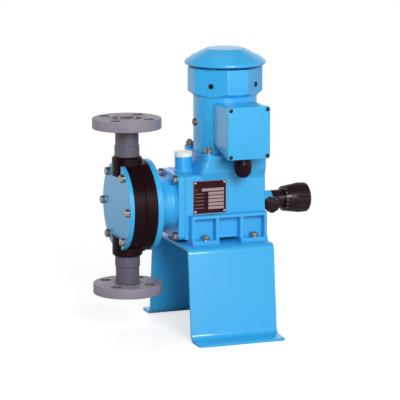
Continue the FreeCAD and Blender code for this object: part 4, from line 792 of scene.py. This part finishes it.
def cowl(inset, bottom, top):
    """Solid with eight flats, whose foot is drawn in to a circle, smaller by inset all round."""
    half = cover_diagonal - inset
    body = slab((-half, -half, bottom), (half, half, top))
    edit(body, "EDGE")
    pick_edges(body, upright)
    corner = half * math.sqrt(2) - (cover_flat - inset)
    bpy.ops.mesh.bevel(offset=corner * math.sqrt(2), segments=1)
    bpy.ops.mesh.select_all(action="DESELECT")
    pick_edges(body, upright)
    bpy.ops.mesh.bevel(offset=(cover_bend - inset) * math.tan(eighth_turn / 2), segments=6)
    done()
    body.rotation_euler.z = eighth_turn
    body.location.x = motor_axis.x
    alone(body)
    bpy.ops.object.transform_apply(location=True, rotation=True, scale=True)
    foot = cover_foot - inset
    wide = cover_flat + 0.006 - inset
    trim = turned([(0, bottom - 0.005), (foot, bottom - 0.005), (foot, cover_low.z + 0.0015),
                   (wide, cover_low.z + 0.009), (wide, top + 0.005), (0, top + 0.005)],
                  (motor_axis.x, motor_axis.y, 0), steps=96)
    round_edges(trim, 0.002, 4, 25)
    cut(body, [trim], "INTERSECT")
    return body


shroud = cowl(0, cover_low.z, cover_high.z)
edit(shroud, "EDGE")
pick_edges(shroud, lambda a, b: min(a.z, b.z) > cover_high.z - tiny)
bpy.ops.mesh.bevel(offset=cover_edge, segments=3)
done()
vent_radius = 0.0032
vents = []
for vent_circle, count in ((0.018, 8), (0.028, 12), (0.038, 16)):
    for index in range(count):
        turn = 2 * math.pi * index / count
        x = motor_axis.x + vent_circle * math.cos(turn)
        y = vent_circle * math.sin(turn)
        vents.append(rod(vent_radius, (x, y, cover_high.z - 0.005), (x, y, cover_high.z + 0.001), 20))
screw_low, screw_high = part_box("fan_cover_screws")
screw_level = (screw_low.z + screw_high.z) / 2
screw_ways = [Vector((sx, sy, 0)).normalized() for sx in (-1, 1) for sy in (-1, 1)]
screw_middle = Vector((motor_axis.x, 0, screw_level))
screw_hole = 0.0023
screw_holes = [rod(screw_hole, screw_middle + way * (cover_diagonal - 0.006),
                   screw_middle + way * (cover_diagonal + 0.004), 24) for way in screw_ways]
hollow = cowl(cover_sheet, cover_low.z - 0.001, cover_high.z - cover_sheet)
cut(shroud, [hollow, joined(vents + screw_holes)])
hand_over(shroud, "fan_shroud", sheet_enamel, "blue_paint", "fan_cover")

# %% [markdown]
# All the big fasteners are the same 8 mm hexagon bolts and nuts. A six-sided cylinder is trimmed by a turned
# crown, which cuts its corners as on a real head, and gets a turned washer. One bolt of each length is
# modelled at the origin, pointing up, and copied to its places; the copies of one kind become one piece.

# %% Hexagon bolts and nuts
bolt_shank = 0.004
bolt_flats = 0.013
bolt_height = 0.0065
washer_thickness = 0.0012
washer_reach = 0.58 * bolt_flats


def hexagon(bottom, top, both_ends=False):
    """Hexagon with its corners turned off and a shallow ring in its top; a nut is turned off below too."""
    corner = bolt_flats / math.sqrt(3)
    wide = corner + 0.0001
    flat = 0.475 * bolt_flats
    ring_bottom = top - 0.00025
    crown = [(0, bottom), (wide, bottom)]
    if both_ends:
        crown = [(0, bottom), (flat, bottom), (wide, bottom + 0.0009)]
    crown += [(wide, top - 0.0012), (flat, top - 0.0002), (flat - 0.0006, top), (0.0042, top),
              (0.0038, ring_bottom), (0.0035, ring_bottom), (0.0031, top), (0, top)]
    head = rod(corner, (0, 0, bottom - 0.001), (0, 0, top + 0.001), 6)
    cut(head, [turned(crown, (0, 0, 0), steps=48)], "INTERSECT")
    edit(head)
    bpy.ops.mesh.select_all(action="SELECT")
    bpy.ops.mesh.remove_doubles(threshold=0.00003)
    done()
    round_edges(head, 0.0002, 2, 40)
    return head


def washer():
    """Washer that stands on the origin."""
    edge = 0.0002
    return turned([(bolt_shank, 0), (washer_reach, 0), (washer_reach, washer_thickness - edge),
                   (washer_reach - edge, washer_thickness), (bolt_shank, washer_thickness), (bolt_shank, 0)],
                  (0, 0, 0), steps=40)


def shank(bottom, top):
    """Shank without its thread, chamfered at the bottom and domed at the top."""
    chamfer = 0.0006
    return turned([(0, bottom), (bolt_shank - chamfer, bottom), (bolt_shank, bottom + chamfer),
                   (bolt_shank, top - chamfer), (bolt_shank - 0.0005, top - 0.0001), (0, top)],
                  (0, 0, 0), steps=32)


def bolt(length):
    """Bolt whose washer stands on the origin."""
    head = hexagon(washer_thickness, washer_thickness + bolt_height)
    return joined([head, washer(), shank(-length, washer_thickness)])


def set_out(pattern, spots):
    """Copy the pattern, which points up, to each place and turn it that way; the copies become one piece."""
    copies = []
    for place, way in spots:
        copy = pattern.copy()
        copy.data = pattern.data.copy()
        bpy.context.scene.collection.objects.link(copy)
        copy.rotation_euler = Vector(way).to_track_quat("Z", "Y").to_euler()
        copy.location = place
        alone(copy)
        bpy.ops.object.transform_apply(location=True, rotation=True, scale=True)
        copies.append(copy)
    bpy.data.objects.remove(pattern)
    return joined(copies)


# %% Bolts of the pump head and the adapter
front_low, front_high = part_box("cover_plate")
head_middle = Vector((front_low.x, 0, (front_low.z + front_high.z) / 2))
head_circle = 0.0715
bolt_angle = 53.5
leftwards = (-1, 0, 0)
_, shanks_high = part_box("head_bolts")
places = []
for degrees in (0, 180, -bolt_angle, bolt_angle, 180 - bolt_angle, 180 + bolt_angle):
    turn = math.radians(degrees)
    places.append(head_middle + head_circle * Vector((0, math.cos(turn), math.sin(turn))))
head_set = set_out(bolt(shanks_high.x - front_low.x), [(place, leftwards) for place in places])
hand_over(head_set, "head_bolt_set", stainless, "stainless_bolts", "head_bolts")

bolts_low, bolts_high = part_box("adapter_bolts")
head_face = bolts_low.x + washer_thickness + bolt_height
places = [(head_face, y, z) for y in (bolts_low.y + washer_reach, bolts_high.y - washer_reach)
          for z in (bolts_low.z + washer_reach, bolts_high.z - washer_reach)]
adapter_set = set_out(bolt(bolts_high.x - head_face), [(place, leftwards) for place in places])
hand_over(adapter_set, "adapter_bolt_set", stainless, "stainless_bolts", "adapter_bolts")

# %% Foot bolts and motor studs
feet_low, feet_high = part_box("foot_bolts")
pad_top = feet_high.z - washer_thickness - bolt_height
stand_back = stand_high.z - stand_sheet
upwards = (0, 0, 1)
downwards = (0, 0, -1)
places = [Vector((x, y, pad_top)) for x in (feet_low.x + washer_reach, feet_high.x - washer_reach)
          for y in (feet_low.y + washer_reach, feet_high.y - washer_reach)]
foot_set = set_out(bolt(pad_top - feet_low.z), [(place, upwards) for place in places])
nut = hexagon(0, bolt_height, both_ends=True)
nut_set = set_out(nut, [((place.x, place.y, stand_back), downwards) for place in places])
hand_over(joined([foot_set, nut_set]), "foot_bolt_set", stainless, "stainless_bolts", "foot_bolts")

studs_low, studs_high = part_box("motor_studs")
stud_top = 0.011
nut_base = studs_high.z - stud_top
stud_reach = 0.6 * bolt_flats
places = [(x, y, nut_base) for x in (studs_low.x + stud_reach, studs_high.x - stud_reach)
          for y in (studs_low.y + stud_reach, studs_high.y - stud_reach)]
nut = hexagon(washer_thickness, washer_thickness + bolt_height, both_ends=True)
stud = joined([nut, washer(), shank(studs_low.z - nut_base, stud_top)])
stud_set = set_out(stud, [(place, upwards) for place in places])
hand_over(stud_set, "motor_stud_set", stainless, "stainless_bolts", "motor_studs")

# %% [markdown]
# The lid and the fan cover are held by blackened pan-head screws. A turned head gets a cross cut into it by
# two small slabs, and again one screw is modelled and copied.

# %% Pan-head screws
def pan_screw(radius, height, shank_radius, length):
    """Screw whose head stands on the origin."""
    head = turned([(0, 0), (radius, 0), (radius, 0.35 * height), (0.88 * radius, 0.75 * height),
                   (0.6 * radius, height), (0, height)], (0, 0, 0), steps=40)
    arm = 0.5 * radius
    half = 0.0004
    slot_floor = 0.35 * height
    cut(head, [slab((-arm, -half, slot_floor), (arm, half, height + 0.001)),
               slab((-half, -arm, slot_floor), (half, arm, height + 0.001))])
    stem = turned([(0, -length), (0.7 * shank_radius, -length), (shank_radius, -length + 0.0006),
                   (shank_radius, 0), (0, 0)], (0, 0, 0), steps=24)
    return joined([head, stem])


cover_spots = [(screw_middle + way * cover_diagonal, way) for way in screw_ways]
cover_screw = pan_screw(radius=0.0047, height=0.0026, shank_radius=0.002, length=0.008)
cover_set = set_out(cover_screw, cover_spots)
hand_over(cover_set, "fan_cover_screw_set", black_oxide.material, "black_screws", "fan_cover_screws")

screws_low, screws_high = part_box("lid_screws")
screw_reach = 0.00342
forwards = (0, -1, 0)
lid_spots = [((x, lid_low.y, z), forwards) for x in (screws_low.x + screw_reach, screws_high.x - screw_reach)
             for z in (screws_low.z + screw_reach, screws_high.z - screw_reach)]
screw_length = screws_high.y - lid_low.y
lid_screw = pan_screw(radius=0.0036, height=0.0018, shank_radius=0.0018, length=screw_length)
lid_set = set_out(lid_screw, lid_spots)
hand_over(lid_set, "lid_screw_set", black_oxide.material, "black_screws", "lid_screws")

# %% [markdown]
# The white filler cap is moulded, with grips all round that a finger and thumb can hold, and a slightly
# raised rim round its top. Every second face of a many-sided cylinder is inset and pushed in for the grips.

# %% Filler cap
cap_low, cap_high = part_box("oil_cap")
cap_middle = (cap_low + cap_high) / 2
cap_radius = (cap_high.x - cap_low.x) / 2
cap_seat = cap_low.z + 0.012
cap_sides = 64
cap_edge = 0.0014
cap = rod(cap_radius, (cap_middle.x, 0, cap_seat), (cap_middle.x, 0, cap_high.z), cap_sides)
edit(cap, "EDGE")
pick_edges(cap, lambda a, b: min(a.z, b.z) > cap_seat + 0.001)
bpy.ops.mesh.bevel(offset=cap_edge, segments=4)
done()
edit(cap)
step = 2 * math.pi / cap_sides


def is_grip(middle, normal):
    """Every second upright face."""
    turn = math.atan2(middle.y, middle.x - cap_middle.x) / step
    return abs(normal.z) < 0.05 and round(turn - 0.5) % 2 == 0


pick_faces(cap, is_grip)
bpy.ops.mesh.inset(thickness=0.0003, depth=-0.0006, use_individual=True)
bpy.ops.mesh.select_all(action="DESELECT")
pick_faces(cap, lambda middle, normal: normal.z > 0.99)
for width, rise in ((0.0016, 0.0), (0.0006, -0.0008), (0.0030, 0.0004), (0.0040, 0.0003)):
    bpy.ops.mesh.inset(thickness=width, depth=rise)
done()
neck_radius = 0.0087
neck = turned([(0, cap_low.z), (neck_radius - 0.0004, cap_low.z), (neck_radius, cap_low.z + 0.0006),
               (neck_radius, cap_seat), (0, cap_seat)], (cap_middle.x, 0, 0), steps=40)
filler = joined([cap, neck])
hand_over(filler, "filler_cap_moulded", cap_white.material, "white_cap", "oil_cap",
          body="filler_cap", smooth=40)

# %% [markdown]
# The nameplate is a thin pressed plate with round corners and a raised border, held by four rivets. Its
# printing is left to the finish: plain bars where the fields would be.

# %% Blank nameplate
sign_corner = 0.0025
sign_border = 0.0011
sign = slab(plate_low, plate_high)
edit(sign, "EDGE")
pick_edges(sign, front_to_back)
bpy.ops.mesh.bevel(offset=sign_corner, segments=6)
done()
edit(sign)
pick_faces(sign, lambda middle, normal: normal.y < -0.9)
bpy.ops.mesh.inset(thickness=sign_border)
bpy.ops.mesh.inset(thickness=0.0003, depth=-0.0004)
done()
round_edges(sign, 0.0002, 2, 60)
rivet_inset = 0.004
rivet_hole = 0.0012
holes = [rod(rivet_hole, (x, plate_low.y - 0.001, z), (x, plate_high.y + 0.001, z), 20)
         for x in (plate_low.x + rivet_inset, plate_high.x - rivet_inset)
         for z in (plate_low.z + rivet_inset, plate_high.z - rivet_inset)]
cut(sign, [joined(holes)])
hand_over(sign, "blank_plate", plate.material, "plate_finish", "nameplate")

# %% [markdown]
# The stroke is read where the knob's skirt crosses lines on the barrel, one for each millimetre, and ticks on
# the skirt divide a turn. Both are thin raised strips. The barrel stands still and its lines ride on the
# root, while the ticks turn with the knob.

# %% Scale lines and ticks
knob_low, knob_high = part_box("stroke_knob")
knob_axis = (knob_low + knob_high) / 2
barrel_low, barrel_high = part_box("scale_barrel")
barrel_radius = (barrel_high.z - barrel_low.z) / 2
raised = 0.00012
buried = 0.0006


def strip(start, end, width, radius, slope=0.0):
    """Thin strip along x on top of a round body, from start to end, that climbs by slope."""
    piece = slab((0, -width / 2, -buried), (end - start, width / 2, raised))
    piece.rotation_euler.y = -math.atan(slope)
    piece.location = (start, 0, radius)
    alone(piece)
    bpy.ops.object.transform_apply(location=True, rotation=True, scale=True)
    return piece


def about_knob(piece, degrees):
    """Turn a strip about the x axis and bring it to the knob's axis."""
    piece.rotation_euler.x = math.radians(degrees)
    piece.location.z = knob_axis.z
    alone(piece)
    bpy.ops.object.transform_apply(location=True, rotation=True, scale=True)
    return piece


facing = 70.0
half_line = 0.00015
lines = [about_knob(strip(knob_low.x - 0.010, knob_low.x + 0.006, 0.0004, barrel_radius), facing)]
for millimetre in range(6):
    x = knob_low.x - 0.0004 + 0.001 * millimetre
    width = 0.003 if millimetre % 5 else 0.0045
    lines.append(about_knob(strip(x - half_line, x + half_line, width, barrel_radius), facing))
hand_over(joined(lines), "barrel_lines", white_film.material, "white_cap")

skirt_radius = 0.023
skirt_slope = 0.142
divisions = 20
ticks = []
for division in range(divisions):
    first = knob_low.x + 0.0022
    last = first + (0.0026 if division else 0.0080)
    width = 0.0004 if division else 0.0009
    radius = skirt_radius + skirt_slope * (first - knob_low.x)
    tick = strip(first, last, width, radius, skirt_slope)
    ticks.append(about_knob(tick, facing + 360 / divisions * division))
hand_over(joined(ticks), "dial_ticks", white_film.material, "white_cap", body="stroke_dial")

# %% [markdown]
# The photograph's ground is white paper. The floor is a wide disc in pale grey, with a glow that only the
# camera sees, so that it comes out white and keeps a soft shadow. It fades out before its rim.

# %% Floor
floor_radius = 1.9
floor_solid_radius = 0.5
bpy.ops.object.select_all(action="DESELECT")
bpy.ops.mesh.primitive_circle_add(vertices=96, radius=floor_radius, fill_type="NGON", location=(0, 0, 0))
floor = bpy.context.object
floor.name = "floor"
paper = Finish("paper", Specular_IOR_Level=0.0, Emission_Strength=0.66)
paper.tint(paper.noise(3.0), screen(184, 184, 184), screen(188, 188, 188))
light_path = paper.tree.nodes.new("ShaderNodeLightPath")
paper.feed("Emission Color", blend_colours(Wire(paper.tree, light_path.outputs["Is Camera Ray"]),
                                           screen(0, 0, 0), screen(255, 255, 255)))
floor_x, floor_y, _ = paper.axes()
inside = 1 - (apart(floor_x, floor_y) - floor_solid_radius) / (floor_radius - floor_solid_radius)
paper.feed("Alpha", inside.maths("SMOOTH_MIN", inside, 1.0, 0.3))
floor.data.materials.append(paper.material)
floor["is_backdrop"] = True
print("floor of radius", floor_radius, "m, solid to", floor_solid_radius, "m")

# %% [markdown]
# The world does three things. The camera sees it white, like the paper. As a lamp it is dim and even. In
# reflections it is a room: dark to the left and above, with white paper behind and to the front right, as the
# gloss on the real pump shows. Light Path tells the rays apart, and the direction says which wall they hit.

# %% World
world = bpy.data.worlds.new("studio")
world.use_nodes = True
bpy.context.scene.world = world
sky = world.node_tree
light_path = sky.nodes.new("ShaderNodeLightPath")
direction = sky.nodes.new("ShaderNodeTexCoord")
split = sky.nodes.new("ShaderNodeSeparateXYZ")
sky.links.new(direction.outputs["Generated"], split.inputs[0])
right, back, up = [Wire(sky, socket) for socket in split.outputs]


def soft_step(value, start, end):
    """0 at start and 1 at end, with a smooth way between."""
    return value.node("ShaderNodeMapRange", {"interpolation_type": "SMOOTHSTEP"},
                      {"Value": value, "From Min": start, "From Max": end})


paper_behind = soft_step(back, -0.1, 0.35)
paper_right = soft_step(right, 0.0, 0.3) * (1 - paper_behind)
below_ceiling = soft_step(up, 0.75, 0.35)
dark_corner = soft_step(right, 0.8, 0.92)
corner_share = 0.6
paper_level = 0.9
room = 0.14
sky_level = 0.24
walls = paper_behind * (1 - dark_corner * corner_share) * paper_level + paper_right
mirrored = walls * below_ceiling + room
seen = Wire(sky, light_path.outputs["Is Camera Ray"])
seen = seen.maths("MAXIMUM", seen, Wire(sky, light_path.outputs["Is Transmission Ray"]))
glossy = Wire(sky, light_path.outputs["Is Glossy Ray"])
strength = (seen * (1 - sky_level) + sky_level) * (1 - glossy) + glossy * mirrored
sky.links.new(strength.socket, sky.nodes["Background"].inputs["Strength"])
sky.nodes["Background"].inputs["Color"].default_value = (1.0, 1.0, 1.0, 1.0)
print("world strength", sky_level, "as a lamp and", room, "in the dark part of reflections")

# %% [markdown]
# The key softbox hangs near the camera, a little to the right and above. Weaker ones fill from the left, the
# top and behind, and don't show in reflections, where they would look like white spots. A small low lamp does
# the opposite: it lights nothing and only adds highlights to bolts and bends.

# %% Lamps
def softbox(name, place, aim, size, power):
    """Square area lamp at place that faces aim."""
    lamp = bpy.data.lights.new(name, "AREA")
    lamp.size = size
    lamp.energy = power
    holder = bpy.data.objects.new(name, lamp)
    holder.location = place
    holder.rotation_mode = "QUATERNION"
    holder.rotation_quaternion = (Vector(aim) - Vector(place)).to_track_quat("-Z", "Y")
    bpy.context.scene.collection.objects.link(holder)
    return holder


softbox("key", (-0.22, -2.55, 1.35), (0, 0, 0.25), 1.0, 58)
side = softbox("side", (-2.4, 0.6, 1.0), (0, 0, 0.25), 1.2, 13)
side.visible_glossy = False
top = softbox("top", (0.2, 0.9, 2.3), (0, 0, 0.2), 1.2, 10)
top.visible_glossy = False
sparkle = softbox("sparkle", (-0.75, -2.1, 0.06), (0.02, 0, 0.44), 0.3, 4)
sparkle.visible_diffuse = False
behind = softbox("behind", (1.1, 2.4, 1.3), (0, 0, 0.25), 1.2, 19)
behind.visible_glossy = False
print("lamps:", ", ".join(lamp.name for lamp in bpy.data.lights))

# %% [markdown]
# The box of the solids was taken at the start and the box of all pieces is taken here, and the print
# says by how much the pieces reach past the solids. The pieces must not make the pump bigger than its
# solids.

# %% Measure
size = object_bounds()
past = [old - new for old, new in zip(cad_box[0], size[0])]
past += [new - old for old, new in zip(cad_box[1], size[1])]
print("past the solids by", round(1000 * max(past), 3), "mm")
